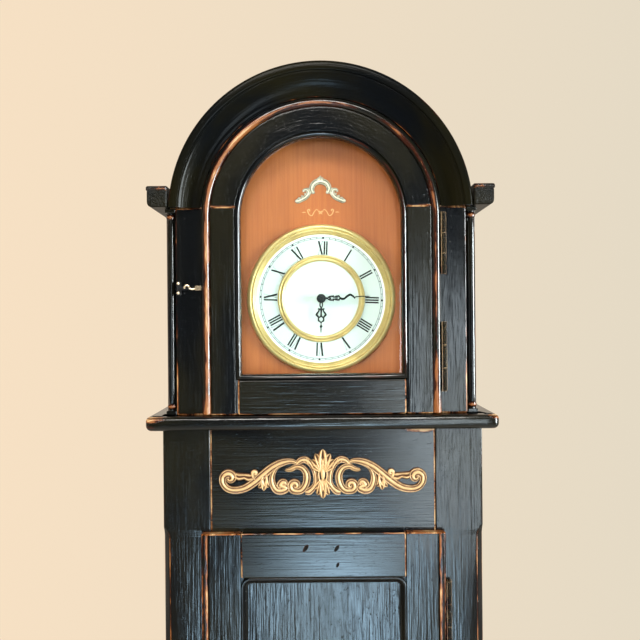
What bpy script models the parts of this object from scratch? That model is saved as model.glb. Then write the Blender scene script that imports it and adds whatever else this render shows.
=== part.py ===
"""Arched-hood longcase clock: painted case, slide-off hood, two doors and a rope-driven movement.

Units are metres, +Z is up, the clock faces -Y. The origin is the middle of the floor area.
Angles in the movement are measured in the XZ plane, as the clock is seen from the front.
"""
import math

import bmesh
import bpy

GAP = 0.0003                        # clearance left between neighbouring pieces

# Case planes, front to back
FRAME_FRONT = -0.088                # face of the hood and trunk front frames
FRAME_THICK = 0.018
FRAME_BACK = FRAME_FRONT + FRAME_THICK
DOOR_FRONT = -0.104                 # doors overlay their frames
DOOR_BACK = FRAME_FRONT - 0.0005
BACKBOARD_FRONT = 0.113
BACKBOARD_BACK = 0.125
SIDE_FRONT = FRAME_BACK + GAP
SIDE_BACK = BACKBOARD_FRONT - GAP

# Hood
HOOD_BASE = 1.487                   # top of the waist moulding, where the hood sits
ARCH_Z = HOOD_BASE + 0.261          # centre of the door's arches
CROWN_Z = ARCH_Z + 0.0055           # centre of the outer arch, which stands a little higher
ARCH_RADIUS = 0.202
SHOULDER = ARCH_Z + 0.0147          # joint between the stiles and the arch
HOOD_HALF = 0.208
HOOD_OPENING = 0.140
HOOD_SIDE_THICK = 0.012
ROOF_THICK = 0.008
MOULDING_INNER = 0.161
MOULDING_PROUD = 0.0175
EAR_HALF = 0.230
EAR_HEIGHT = 0.028
EAR_FRONT = -0.105
REBATE = 0.014                      # square corner rebate that holds a column
COLUMN_RADIUS = 0.005

# Hood door
HOOD_DOOR_HALF = 0.158
HOOD_DOOR_BOTTOM = HOOD_BASE + 0.0013
HOOD_DOOR_OPENING = 0.106
HOOD_DOOR_SILL = HOOD_BASE + 0.0548
GLASS_HALF = 0.111
GLASS_FRONT = -0.0925
GLASS_BACK = -0.0895

# Trunk
TRUNK_HALF = 0.213
TRUNK_SIDE_THICK = 0.018
WAIST_HALF = 0.232
WAIST_FRONT = -0.114
WAIST_THICK = 0.0185
TRUNK_TOP = HOOD_BASE - WAIST_THICK - GAP
TRUNK_OPENING = (0.150, 0.482, 1.320)      # half width, bottom, top
TRUNK_DOOR = (0.1616, 0.470, 1.3315)
PANEL_OPENING = (0.104, 0.550, 1.2678)
CHAMFER = 0.008
CHAMFER_ENDS = (0.470, 1.338)
APPLIQUE_SIZE = (0.277, 0.067)
APPLIQUE_Z = 1.4075

# Base
BASE_HALF = 0.226
BASE_FRONT = -0.102
BASE_TOP = 0.4017
MOULDING_TOP = 0.420
PLINTH_HALF = 0.232
PLINTH_FRONT = -0.112
PLINTH_HEIGHT = 0.090

# Hinges, hook and latch
HINGE_Y = -0.097
HINGE_LEAF = 0.0045                 # how far the narrow fixed leaf shows beyond the pin
HOOD_HINGE_X = 0.1625
TRUNK_HINGE_X = 0.166
HOOD_HINGES = ((1.672, 1.754), (1.517, 1.609))
TRUNK_HINGES = ((1.175, 1.265), (0.535, 0.625))
HOOK_PIVOT = (-0.1632, -0.0965, 1.656)
HOOK_REACH = 0.0148
HOOK_WIRE = 0.00125
LATCH = (-0.133, 0.900)             # x and z of the trunk door's turn latch
LATCH_FRONT = -0.125

# Dial
DIAL_Z = HOOD_BASE + 0.1545
BOARD_FRONT = -0.066
BOARD_BACK = -0.058
DIAL_RADIUS = 0.0872
BEZEL_OUTER = 0.101
INNER_RING = (0.0507, 0.0592)
HOUR_HAND_LENGTH = 0.0466
MINUTE_HAND_LENGTH = 0.065
HOUR_HAND_ANGLE = math.radians(-91)        # six o'clock, measured from +X
MINUTE_HAND_ANGLE = math.radians(1)        # three o'clock

# Movement: plates, arbors (x, z) and the y range of each wheel
PLATE_HALF = 0.056
PLATE_BOTTOM = DIAL_Z - 0.085 + GAP
PLATE_TOP = DIAL_Z + 0.093
FRONT_PLATE = (-0.030, -0.027)
BACK_PLATE = (0.030, 0.033)
PILLARS = ((-0.048, -0.075), (0.048, -0.075), (-0.048, 0.085), (0.048, 0.085))
CENTRE = (0.0, DIAL_Z)
GREAT = (0.0, DIAL_Z - 0.04375)
THIRD = (0.020, DIAL_Z + 0.0275)
ESCAPE = (0.0, DIAL_Z + 0.05299)
PALLET = (0.0, DIAL_Z + 0.0785)
MOTION = (-0.024, DIAL_Z)
PRESSURE_ANGLE = math.radians(25)
ADDENDUM, DEDENDUM = 0.70, 0.95     # in modules
TOOTH_RELIEF = 0.02                 # of the pitch, taken off each flank
PIVOT_RADIUS = 0.0008
PIVOT_HOLE = 0.0012
ESCAPE_TEETH, ESCAPE_RADIUS = 30, 0.018
ANCHOR_CLEAR = 0.0193               # the anchor's inner arc about the escape arbor

# Rope, weight and pendulum
SHEAVE_Y = 0.0025
ROPE_RADIUS = 0.002
ROPE_REACH = 0.02075                # rope centre from the great arbor
WEIGHT_TOP = 0.670
WEIGHT_RADIUS = 0.025
ROPE_TAIL = 0.560
ROD_Y = 0.061
ROD_RADIUS = 0.0025
ROD_BOTTOM = 0.628
BOB_Z = 0.726
BOB_RADIUS = 0.070
BOB_HALF_THICK = 0.017
SEAT_TOP = DIAL_Z - 0.085

# Finishes: base colour, roughness, metallic
BLACK_PAINT = ((0.020, 0.022, 0.025), 0.35, 0.0)
BARE_WOOD = ((0.42, 0.26, 0.14), 0.6, 0.0)
BOARD_VENEER = ((0.42, 0.17, 0.08), 0.45, 0.0)
ENAMEL = ((0.85, 0.90, 0.88), 0.3, 0.0)
BRASS = ((0.72, 0.52, 0.20), 0.32, 1.0)
GILT = ((0.80, 0.70, 0.48), 0.45, 0.6)
STEEL = ((0.45, 0.45, 0.47), 0.35, 1.0)
BLACK_STEEL = ((0.015, 0.015, 0.015), 0.4, 0.3)
ROPE = ((0.62, 0.52, 0.36), 0.9, 0.0)
GLASS = ((0.92, 0.96, 0.96), 0.05, 0.0)


# ---------------------------------------------------------------- scene and materials

def clear_scene():
    for obj in list(bpy.data.objects):
        bpy.data.objects.remove(obj, do_unlink=True)
    for collection in list(bpy.data.collections):
        bpy.data.collections.remove(collection)


def new_collection(name):
    collection = bpy.data.collections.new(name)
    bpy.context.scene.collection.children.link(collection)
    return collection


clear_scene()
PARTS = new_collection("longcase_clock")
CUTTERS = new_collection("cutters")


def finish(obj, look):
    """Give the piece its own material."""
    colour, roughness, metallic = look
    material = bpy.data.materials.new(obj.name + "_finish")
    material.use_nodes = True
    shader = material.node_tree.nodes["Principled BSDF"]
    shader.inputs["Base Color"].default_value = (*colour, 1.0)
    shader.inputs["Roughness"].default_value = roughness
    shader.inputs["Metallic"].default_value = metallic
    obj.data.materials.clear()
    obj.data.materials.append(material)
    return obj


def axis_empty(name, location, parent=None):
    """An empty on a joint's axis; the pieces that move with the joint hang on it."""
    empty = bpy.data.objects.new(name, None)
    empty.location = location
    empty.empty_display_size = 0.02
    PARTS.objects.link(empty)
    hang(empty, parent)
    return empty


def hang(child, parent):
    """Parent without moving the child in the world."""
    if parent is None:
        return
    bpy.context.view_layer.update()
    child.parent = parent
    child.matrix_parent_inverse = parent.matrix_world.inverted()


# ---------------------------------------------------------------- solids

def mesh_object(name, bm, location=(0, 0, 0)):
    mesh = bpy.data.meshes.new(name)
    bm.to_mesh(mesh)
    bm.free()
    obj = bpy.data.objects.new(name, mesh)
    obj.location = location
    PARTS.objects.link(obj)
    return obj


def box(name, low, high):
    """A box between two corners, with its origin at its middle."""
    bm = bmesh.new()
    bmesh.ops.create_cube(bm, size=1.0)
    bmesh.ops.scale(bm, vec=[h - l for l, h in zip(low, high)], verts=bm.verts)
    return mesh_object(name, bm, [(l + h) / 2 for l, h in zip(low, high)])


def cylinder(name, radius, base, length, along="Y", sides=12):
    """A round bar from its base point along +Y or +Z."""
    bm = bmesh.new()
    bmesh.ops.create_cone(bm, cap_ends=True, segments=sides, radius1=radius, radius2=radius,
                          depth=length)
    bmesh.ops.translate(bm, vec=(0, 0, length / 2), verts=bm.verts)
    obj = mesh_object(name, bm, base)
    if along == "Y":
        obj.rotation_euler = (-math.pi / 2, 0, 0)
    return obj


def turned(name, profile, location, facing="up", steps=32, closed=False):
    """A turned shape from (radius, height) points that run down its outer side.

    A closed profile goes back up its bore. Facing front, height is measured towards -Y.
    """
    count = len(profile)
    edges = [(i, i + 1) for i in range(count - 1)] + ([(count - 1, 0)] if closed else [])
    mesh = bpy.data.meshes.new(name)
    mesh.from_pydata([(r, 0, h) for r, h in profile], edges, [])
    obj = bpy.data.objects.new(name, mesh)
    obj.location = location
    if facing == "front":
        obj.rotation_euler = (math.pi / 2, 0, 0)
    PARTS.objects.link(obj)
    screw = obj.modifiers.new("Turned", "SCREW")
    screw.steps = screw.render_steps = steps
    screw.use_merge_vertices = True
    screw.merge_threshold = 0.00001
    screw.use_smooth_shade = False
    return obj


def as_mesh(curve_object):
    """The curve as a mesh object with its caps welded on."""
    bpy.context.view_layer.update()
    evaluated = curve_object.evaluated_get(bpy.context.evaluated_depsgraph_get())
    mesh = bpy.data.meshes.new_from_object(evaluated)
    bm = bmesh.new()
    bm.from_mesh(mesh)
    bmesh.ops.remove_doubles(bm, verts=bm.verts, dist=0.000001)
    bmesh.ops.recalc_face_normals(bm, faces=bm.faces)
    bm.to_mesh(mesh)
    bm.free()
    name = curve_object.name
    placed = curve_object.matrix_world.copy()
    bpy.data.objects.remove(curve_object)
    obj = bpy.data.objects.new(name, mesh)
    obj.name = name
    obj.matrix_world = placed
    PARTS.objects.link(obj)
    return obj


def outline_curve(name, loops, thickness):
    """A filled 2D curve of closed loops; a loop inside another is a hole."""
    curve = bpy.data.curves.new(name, "CURVE")
    curve.dimensions = "2D"
    curve.fill_mode = "BOTH"
    curve.extrude = thickness / 2
    for loop in loops:
        spline = curve.splines.new("POLY")
        spline.points.add(len(loop) - 1)
        for point, (u, v) in zip(spline.points, loop):
            point.co = (u, v, 0, 1)
        spline.use_cyclic_u = True
    obj = bpy.data.objects.new(name, curve)
    PARTS.objects.link(obj)
    return obj


def plate(name, loops, front, back, at=(0, 0)):
    """An upright plate between two y planes, with its outline given as (x, z) loops."""
    obj = outline_curve(name, loops, back - front)
    obj.location = (at[0], (front + back) / 2, at[1])
    obj.rotation_euler = (math.pi / 2, 0, 0)
    return as_mesh(obj)


def wire(name, points, radius, location=(0, 0, 0)):
    """A round wire through the points."""
    curve = bpy.data.curves.new(name, "CURVE")
    curve.dimensions = "3D"
    curve.bevel_depth = radius
    curve.bevel_resolution = 2
    curve.use_fill_caps = True
    spline = curve.splines.new("POLY")
    spline.points.add(len(points) - 1)
    for point, place in zip(spline.points, points):
        point.co = (*place, 1)
    obj = bpy.data.objects.new(name, curve)
    obj.location = location
    PARTS.objects.link(obj)
    return as_mesh(obj)


def boolean(obj, tool, operation):
    for collection in list(tool.users_collection):
        collection.objects.unlink(tool)
    CUTTERS.objects.link(tool)
    tool.hide_render = True
    tool.display_type = "WIRE"
    modifier = obj.modifiers.new(tool.name, "BOOLEAN")
    modifier.operation = operation
    modifier.solver = "EXACT"
    modifier.object = tool
    return obj


def cut(obj, *tools):
    for tool in tools:
        boolean(obj, tool, "DIFFERENCE")
    return obj


def join(obj, *tools):
    for tool in tools:
        boolean(obj, tool, "UNION")
    return obj


def round_edges(obj, chosen, radius, segments):
    """Round the edges of a plain mesh whose two ends both satisfy the test, in world places."""
    bpy.context.view_layer.update()
    place = obj.matrix_world
    bm = bmesh.new()
    bm.from_mesh(obj.data)
    edges = [e for e in bm.edges if chosen(*(place @ v.co for v in e.verts))]
    bmesh.ops.bevel(bm, geom=edges, offset=radius, segments=segments, profile=0.5,
                    affect="EDGES", clamp_overlap=True)
    bm.to_mesh(obj.data)
    bm.free()
    return obj


def smooth(obj, angle=35):
    if obj.type == "MESH":
        obj.data.shade_smooth()
        obj.data.set_sharp_from_angle(angle=math.radians(angle))


# ---------------------------------------------------------------- outlines

def arc(radius, start, end, count, centre=(0, 0)):
    """Points on an arc, angles in degrees."""
    points = []
    for i in range(count + 1):
        angle = math.radians(start + (end - start) * i / count)
        points.append((centre[0] + radius * math.cos(angle), centre[1] + radius * math.sin(angle)))
    return points


def circle(radius, count, centre=(0, 0)):
    return arc(radius, 0, 360, count, centre)[:-1]


def rectangle(half, bottom, top):
    return [(-half, bottom), (half, bottom), (half, top), (-half, top)]


def arched(half, bottom, count=32):
    """A round-headed outline: straight sides up to the arch centre, then a half circle."""
    return [(-half, bottom), (half, bottom)] + arc(half, 0, 180, count, (0, ARCH_Z))


def mirrored(points):
    return [(-x, z) for x, z in reversed(points)]


# ---------------------------------------------------------------- case

def horizontal_front(a, b, half, front, heights):
    """Is this an outer horizontal edge of a moulding, at one of the given heights?"""
    level = abs(a.z - b.z) < 1e-6 and any(abs(a.z - h) < 1e-6 for h in heights)
    at_front = abs(a.y - front) < 1e-6 and abs(b.y - front) < 1e-6
    at_side = abs(abs(a.x) - half) < 1e-6 and abs(a.x - b.x) < 1e-6
    return level and (at_front or at_side)


def three_sided(name, half, front, back, bottom, top, inner_half, inner_front, rounding=None):
    """A moulding or box that wraps the front and both sides and is open at the back."""
    obj = box(name, (-half, front, bottom), (half, back, top))
    if rounding:
        radius, segments, heights = rounding
        round_edges(obj, lambda a, b: horizontal_front(a, b, half, front, heights),
                    radius, segments)
    inside = box(name + "_inside", (-inner_half, inner_front, bottom - 0.05),
                 (inner_half, back + 0.05, top + 0.05))
    return cut(obj, inside)


def build_mouldings():
    waist_bottom = HOOD_BASE - WAIST_THICK
    waist = three_sided("waist_moulding", WAIST_HALF, WAIST_FRONT, SIDE_BACK, waist_bottom,
                        HOOD_BASE, TRUNK_HALF - TRUNK_SIDE_THICK, SIDE_FRONT,
                        (0.009, 5, (waist_bottom, HOOD_BASE)))
    base = three_sided("base_moulding", WAIST_HALF, WAIST_FRONT, SIDE_BACK, BASE_TOP + GAP,
                       MOULDING_TOP, TRUNK_HALF + GAP, FRAME_BACK, (0.012, 5, (MOULDING_TOP,)))
    plinth = three_sided("plinth_skirting", PLINTH_HALF, PLINTH_FRONT, BACKBOARD_BACK, 0.0,
                         PLINTH_HEIGHT, BASE_HALF + GAP, BASE_FRONT - GAP,
                         (0.004, 2, (PLINTH_HEIGHT,)))
    for obj in (waist, base, plinth):
        finish(obj, BLACK_PAINT)


def build_base_box():
    wall, front_wall, recess_depth = 0.012, 0.014, 0.005
    obj = three_sided("base_box", BASE_HALF, BASE_FRONT, BACKBOARD_BACK, 0.012, BASE_TOP,
                      BASE_HALF - wall, BASE_FRONT + front_wall)
    recess = box("base_recess", (-0.165, BASE_FRONT - 0.01, 0.150),
                 (0.165, BASE_FRONT + recess_depth, 0.345))
    finish(cut(obj, recess), BLACK_PAINT)


def chamfer_cutter(side):
    """A square bar set cornerwise on the trunk's front corner, drawn to a point at each end."""
    bottom, top = CHAMFER_ENDS
    profile = [(0, top), (CHAMFER, top - 0.014), (CHAMFER, bottom + 0.014), (0, bottom)]
    return turned(f"chamfer_{side:+d}", profile, (side * TRUNK_HALF, FRAME_FRONT, 0), steps=4)


def build_trunk_frame():
    half, bottom, top = TRUNK_OPENING
    obj = plate("trunk_front_frame",
                [rectangle(TRUNK_HALF, MOULDING_TOP + GAP, TRUNK_TOP), rectangle(half, bottom, top)],
                FRAME_FRONT, FRAME_BACK)
    finish(cut(obj, chamfer_cutter(-1), chamfer_cutter(1)), BLACK_PAINT)


def build_trunk_sides():
    for name, side in (("trunk_side_left", -1), ("trunk_side_right", 1)):
        inner, outer = TRUNK_HALF - TRUNK_SIDE_THICK, TRUNK_HALF
        xs = sorted((side * inner, side * outer))
        finish(box(name, (xs[0], SIDE_FRONT, 0.300), (xs[1], SIDE_BACK, TRUNK_TOP)), BLACK_PAINT)


def build_backboard():
    step = HOOD_BASE - GAP
    radius = ARCH_RADIUS - 0.0005
    spring = math.degrees(math.asin((SHOULDER - CROWN_Z) / radius))
    right = [(TRUNK_HALF, 0.012), (TRUNK_HALF, step), (HOOD_HALF, step), (HOOD_HALF, SHOULDER)]
    loop = right + arc(radius, spring, 180 - spring, 36, (0, CROWN_Z)) + mirrored(right)
    finish(plate("backboard", [loop], BACKBOARD_FRONT, BACKBOARD_BACK), BARE_WOOD)


def build_seatboard():
    """The board that carries the movement, with its two cheeks down inside the trunk."""
    outer = TRUNK_HALF - TRUNK_SIDE_THICK - GAP
    thick, cheek_bottom = 0.018, 1.430
    inner = outer - thick
    right = [(inner, SEAT_TOP - thick), (inner, cheek_bottom), (outer, cheek_bottom),
             (outer, SEAT_TOP)]
    obj = plate("seatboard", [right + mirrored(right)], BOARD_BACK + GAP, 0.050)
    slot = box("rope_slot", (-0.032, -0.012, SEAT_TOP - 0.05), (0.032, 0.017, SEAT_TOP + 0.05))
    finish(cut(obj, slot), BARE_WOOD)


def applique_outline():
    """A long symmetric leaf: pointed in the middle, waisted, with a round scroll at each end."""
    half_w, half_h = APPLIQUE_SIZE[0] / 2, APPLIQUE_SIZE[1] / 2
    scroll = 0.016
    upper = [(0.0, half_h), (0.016, 0.45 * half_h), (0.045, 0.55 * half_h), (0.075, 0.30 * half_h),
             (half_w - 2 * scroll, 0.25 * half_h)]
    end = arc(scroll, 120, -120, 12, (half_w - scroll, 0.0))
    lower = [(x, -z) for x, z in reversed(upper)]
    right = upper + end + lower
    return right + [(-x, z) for x, z in reversed(right[1:-1])]


def build_applique():
    obj = plate("trunk_applique", [applique_outline()], FRAME_FRONT - GAP - 0.006,
                FRAME_FRONT - GAP, (0, APPLIQUE_Z))
    finish(obj, GILT)


# ---------------------------------------------------------------- hood

def build_hood_frame():
    spring = math.degrees(math.asin((SHOULDER - CROWN_Z) / ARCH_RADIUS))
    right = [(HOOD_HALF, HOOD_BASE + GAP), (HOOD_HALF, SHOULDER)]
    outer = right + arc(ARCH_RADIUS, spring, 180 - spring, 36, (0, CROWN_Z)) + mirrored(right)
    obj = plate("hood_front_frame", [outer, arched(HOOD_OPENING, HOOD_BASE + 0.020)],
                FRAME_FRONT, FRAME_BACK)
    for side in (-1, 1):
        xs = sorted((side * (HOOD_HALF - REBATE), side * (HOOD_HALF + 0.01)))
        rebate = box(f"column_rebate_{side:+d}", (xs[0], FRAME_FRONT - 0.01, HOOD_BASE - 0.01),
                     (xs[1], FRAME_FRONT + REBATE, SHOULDER + 0.004))
        cut(obj, rebate)
    finish(obj, BLACK_PAINT)


def arch_section():
    """Closed section of the arch moulding: a low inner fillet, a cove and a square outer bead."""
    low, high = -FRAME_FRONT + GAP, -FRAME_FRONT + MOULDING_PROUD
    start, end = MOULDING_INNER + 0.003, 0.1895
    cove = []
    for i in range(7):
        t = i / 6
        cove.append((start + (end - start) * math.sin(t * math.pi / 2),
                     low + 0.0015 + (high - low - 0.003) * (1 - math.cos(t * math.pi / 2))))
    return [(end + 0.0005, high), (ARCH_RADIUS, high), (ARCH_RADIUS, low), (MOULDING_INNER, low),
            (MOULDING_INNER, low + 0.0015)] + cove


def upper_half_only(obj, name):
    below = box(name + "_below", (-0.3, -0.2, ARCH_Z - 0.3), (0.3, 0.2, SHOULDER + GAP))
    return cut(obj, below)


def build_arch_moulding():
    obj = turned("arch_moulding", arch_section(), (0, 0, CROWN_Z), "front", 72, closed=True)
    finish(upper_half_only(obj, "arch"), BLACK_PAINT)


def build_roof():
    front, back = -SIDE_FRONT, -SIDE_BACK
    inner = ARCH_RADIUS - ROOF_THICK
    section = [(ARCH_RADIUS, front), (ARCH_RADIUS, back), (inner, back), (inner, front)]
    obj = turned("hood_roof", section, (0, 0, CROWN_Z), "front", 72, closed=True)
    finish(upper_half_only(obj, "roof"), BLACK_PAINT)


def build_hood_sides():
    for name, side in (("hood_side_left", -1), ("hood_side_right", 1)):
        xs = sorted((side * (HOOD_HALF - HOOD_SIDE_THICK), side * HOOD_HALF))
        obj = box(name, (xs[0], SIDE_FRONT, HOOD_BASE + GAP), (xs[1], SIDE_BACK, SHOULDER))
        finish(obj, BLACK_PAINT)


def build_cornices():
    """The horizontal cornice along each side, returned at the front as an ear beside the arch."""
    bottom, top = SHOULDER + GAP, SHOULDER + EAR_HEIGHT
    for name, side in (("cornice_left", -1), ("cornice_right", 1)):
        xs = sorted((side * 0.195, side * EAR_HALF))
        obj = box(name, (xs[0], EAR_FRONT, bottom), (xs[1], SIDE_BACK, top))
        outer = side * EAR_HALF
        round_edges(obj, lambda a, b: abs(a.x - outer) + abs(b.x - outer) < 1e-5
                    and abs(a.z - bottom) + abs(b.z - bottom) < 1e-5, 0.007, 4)
        arch = cylinder(name + "_arch", ARCH_RADIUS + GAP, (0, EAR_FRONT - 0.05, CROWN_Z), 0.35,
                        "Y", 72)
        finish(cut(obj, arch), BLACK_PAINT)


def column_profile(height):
    """Half section of a column: a ring and a neck at each end of a plain shaft."""
    r = COLUMN_RADIUS
    end = [(r * 0.85, 0.003), (r * 0.85, 0.005), (r * 1.25, 0.007), (r * 1.28, 0.009),
           (r * 1.25, 0.011), (r * 0.8, 0.013), (r * 0.95, 0.018), (r, 0.022)]
    upper = [(radius, height - z) for radius, z in end]
    return [(0, height - 0.003)] + upper + list(reversed(end)) + [(0, 0.003)]


def build_columns():
    bottom, top = HOOD_BASE + GAP, SHOULDER - GAP
    block, thick = REBATE - GAP, 0.004
    for name, side in (("column_left", -1), ("column_right", 1)):
        x = side * (HOOD_HALF - block / 2)
        y = FRAME_FRONT + block / 2
        obj = turned(name, column_profile(top - bottom), (x, y, bottom), steps=12)
        for end, z in (("foot", bottom), ("cap", top - thick)):
            join(obj, box(f"{name}_{end}", (x - block / 2, y - block / 2, z),
                          (x + block / 2, y + block / 2, z + thick)))
        finish(obj, BLACK_PAINT)


def build_hinge(prefix, axis_x, low, high, parent):
    """A butt hinge: a fixed leaf with two knuckles and the pin, and a door leaf with one."""
    knuckle, pin, bore = 0.003, 0.0012, 0.0016
    third = (high - low) / 3
    fixed = box(prefix + "_fixed", (axis_x - 0.0015, FRAME_FRONT - 0.0018, low),
                (axis_x + HINGE_LEAF, FRAME_FRONT - GAP, high))
    for label, z in (("lower", low), ("upper", high - third)):
        web = box(f"{prefix}_{label}_web", (axis_x - 0.0014, HINGE_Y + 0.0010, z),
                  (axis_x + 0.0014, FRAME_FRONT - 0.0008, z + third))
        barrel = cylinder(f"{prefix}_{label}_barrel", knuckle, (axis_x, HINGE_Y, z), third, "Z")
        join(fixed, web, barrel)
    join(fixed, cylinder(prefix + "_pin", pin, (axis_x, HINGE_Y, low + 0.001), high - low - 0.002,
                         "Z", 12))
    finish(fixed, BLACK_PAINT)

    inner_low, inner_high = low + third + GAP, high - third - GAP
    leaf = box(prefix + "_door", (axis_x - 0.0041, DOOR_FRONT + 0.0005, low),
               (axis_x - 0.0033, DOOR_BACK - 0.0005, high))
    web = box(prefix + "_door_web", (axis_x - 0.0037, HINGE_Y - 0.0014, inner_low),
              (axis_x - 0.0014, HINGE_Y + 0.0014, inner_high))
    barrel = cylinder(prefix + "_door_barrel", knuckle, (axis_x, HINGE_Y, inner_low),
                      inner_high - inner_low, "Z")
    hole = cylinder(prefix + "_bore", bore, (axis_x, HINGE_Y, inner_low - 0.003),
                    inner_high - inner_low + 0.006, "Z", 12)
    finish(cut(join(leaf, web, barrel), hole), BLACK_PAINT)
    hang(leaf, parent)
    return fixed


def build_catch_plate():
    """The nailed plate on the hood stile, with the pin that the hook drops over."""
    pivot_x, y, z = HOOK_PIVOT
    pin_x = pivot_x - HOOK_REACH
    back = FRAME_FRONT - GAP
    obj = box("catch_plate", (-0.1925, back - 0.0015, z - 0.009), (-0.1865, back, z + 0.009))
    arm = box("catch_arm", (-0.1870, back - 0.0014, z - 0.0025), (pin_x + 0.002, back, z + 0.0025))
    pin = cylinder("catch_pin", 0.0012, (pin_x, y - 0.0035, z), back - 0.0005 - (y - 0.0035))
    return finish(join(obj, arm, pin), BRASS)


# ---------------------------------------------------------------- doors

def build_hood_door(parent):
    outer = arched(HOOD_DOOR_HALF, HOOD_DOOR_BOTTOM)
    opening = arched(HOOD_DOOR_OPENING, HOOD_DOOR_SILL)
    obj = plate("hood_door_frame", [outer, opening], DOOR_FRONT, DOOR_BACK)
    inset = GLASS_HALF - HOOD_DOOR_OPENING
    rebate = plate("glass_rebate", [arched(GLASS_HALF + GAP, HOOD_DOOR_SILL - inset - GAP)],
                   GLASS_FRONT - GAP, DOOR_BACK + 0.01)
    finish(cut(obj, rebate), BLACK_PAINT)
    glass = plate("hood_glass", [arched(GLASS_HALF, HOOD_DOOR_SILL - inset)],
                  GLASS_FRONT, GLASS_BACK)
    finish(glass, GLASS)
    hang(obj, parent)
    hang(glass, parent)


def build_hook_eye(parent):
    """The small bracket on the door's edge that carries the hook's pivot pin."""
    x, y, z = HOOK_PIVOT
    obj = box("hook_eye", (x - 0.003, y - 0.0070, z - 0.0032),
              (-HOOD_DOOR_HALF - GAP, y - 0.0052, z + 0.0032))
    pin = cylinder("hook_eye_pin", 0.0009, (x, y - 0.006, z), 0.011, "Y", 12)
    hang(finish(join(obj, pin), BRASS), parent)


def hook_path():
    """Centre line of the hook: a shank that leaves the pivot and ends in a hook over the pin."""
    crook = 0.0031
    points = []
    for i in range(9):
        t = i / 8
        x = -0.0024 + (-HOOK_REACH + crook + 0.0024) * t
        points.append((x, 0, -0.0012 * math.sin(t * math.pi)))
    for u, v in arc(crook, 20, 200, 10, (-HOOK_REACH, 0.0006)):
        points.append((u, 0, v))
    return points


def build_hook(parent):
    ring = plate("door_hook", [circle(0.0029, 20), circle(0.0013, 14)],
                 HOOK_PIVOT[1] - 0.0012, HOOK_PIVOT[1] + 0.0012, (HOOK_PIVOT[0], HOOK_PIVOT[2]))
    shank = wire("hook_shank", hook_path(), HOOK_WIRE, HOOK_PIVOT)
    hang(finish(join(ring, shank), BRASS), parent)


def rounded_head(half, bottom, top, radius):
    """A rectangle whose two upper corners are rounded."""
    right = [(half, bottom)] + arc(radius, 0, 90, 6, (half - radius, top - radius))
    return right + mirrored(right)


def build_trunk_door(parent):
    half, bottom, top = PANEL_OPENING
    lip, panel_front = 0.008, -0.0945
    obj = plate("trunk_door_frame", [rectangle(*TRUNK_DOOR), rounded_head(half, bottom, top, 0.008)],
                DOOR_FRONT, DOOR_BACK)
    groove = box("panel_rebate", (-half - lip - GAP, panel_front - GAP, bottom - lip - GAP),
                 (half + lip + GAP, DOOR_BACK + 0.01, top + lip + GAP))
    spindle_hole = cylinder("latch_bore", 0.0042, (LATCH[0], DOOR_FRONT - 0.01, LATCH[1]), 0.04)
    finish(cut(obj, groove, spindle_hole), BLACK_PAINT)
    panel = box("trunk_door_panel", (-half - lip, panel_front, bottom - lip),
                (half + lip, DOOR_BACK, top + lip))
    finish(panel, BLACK_PAINT)
    section = [(0.013, 0.0015), (0.014, 0.0), (0.0043, 0.0), (0.0043, 0.0015)]
    escutcheon = turned("latch_escutcheon", section, (LATCH[0], DOOR_FRONT - GAP, LATCH[1]),
                        "front", 24, closed=True)
    finish(escutcheon, BRASS)
    for piece in (obj, panel, escutcheon):
        hang(piece, parent)


def build_latch(parent):
    """Turned knob and spindle, with a tongue that swings behind the trunk's left stile."""
    head = -LATCH_FRONT
    neck = -DOOR_FRONT + 0.0022
    profile = [(0, head), (0.006, head - 0.0006), (0.0100, head - 0.003), (0.0115, head - 0.007),
               (0.0100, head - 0.011), (0.0055, head - 0.0145), (0.0055, neck), (0.0036, neck),
               (0.0036, 0.068), (0, 0.068)]
    obj = turned("trunk_latch", profile, (LATCH[0], 0, LATCH[1]), "front", 20)
    tongue = box("latch_tongue", (LATCH[0] - 0.0045, FRAME_BACK + 0.0005, LATCH[1] - 0.026),
                 (LATCH[0] + 0.0045, FRAME_BACK + 0.0035, LATCH[1] + 0.0055))
    hang(finish(join(obj, tongue), BRASS), parent)


# ---------------------------------------------------------------- dial

def build_dial_board():
    half, radius = 0.190, 0.186
    outline = [(-half, HOOD_BASE + GAP), (half, HOOD_BASE + GAP), (half, ARCH_Z)] \
        + arc(radius, 0, 180, 40, (0, ARCH_Z)) + [(-half, ARCH_Z)]
    obj = plate("dial_board", [outline, circle(0.008, 20, (0, DIAL_Z))], BOARD_FRONT, BOARD_BACK)
    finish(obj, BOARD_VENEER)


def build_dial():
    back = -BOARD_FRONT + GAP
    face = plate("dial_disc", [circle(DIAL_RADIUS, 64), circle(0.0063, 20)],
                 -back - 0.0015, -back, (0, DIAL_Z))
    finish(face, ENAMEL)
    inner, outer = DIAL_RADIUS + GAP, BEZEL_OUTER
    front = back + 0.008
    section = [(inner + 0.0035, front), (outer - 0.004, front), (outer - 0.001, front - 0.0015),
               (outer, front - 0.004), (outer, back), (inner, back), (inner, front - 0.0045)]
    finish(turned("outer_bezel", section, (0, 0, DIAL_Z), "front", 48, closed=True), BRASS)
    inner, outer = INNER_RING
    back = back + 0.0018
    section = [(outer - 0.0015, back + 0.003), (outer, back + 0.0015), (outer, back),
               (inner, back), (inner, back + 0.0015), (inner + 0.0015, back + 0.003)]
    finish(turned("inner_bezel", section, (0, 0, DIAL_Z), "front", 40, closed=True), BRASS)


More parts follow.
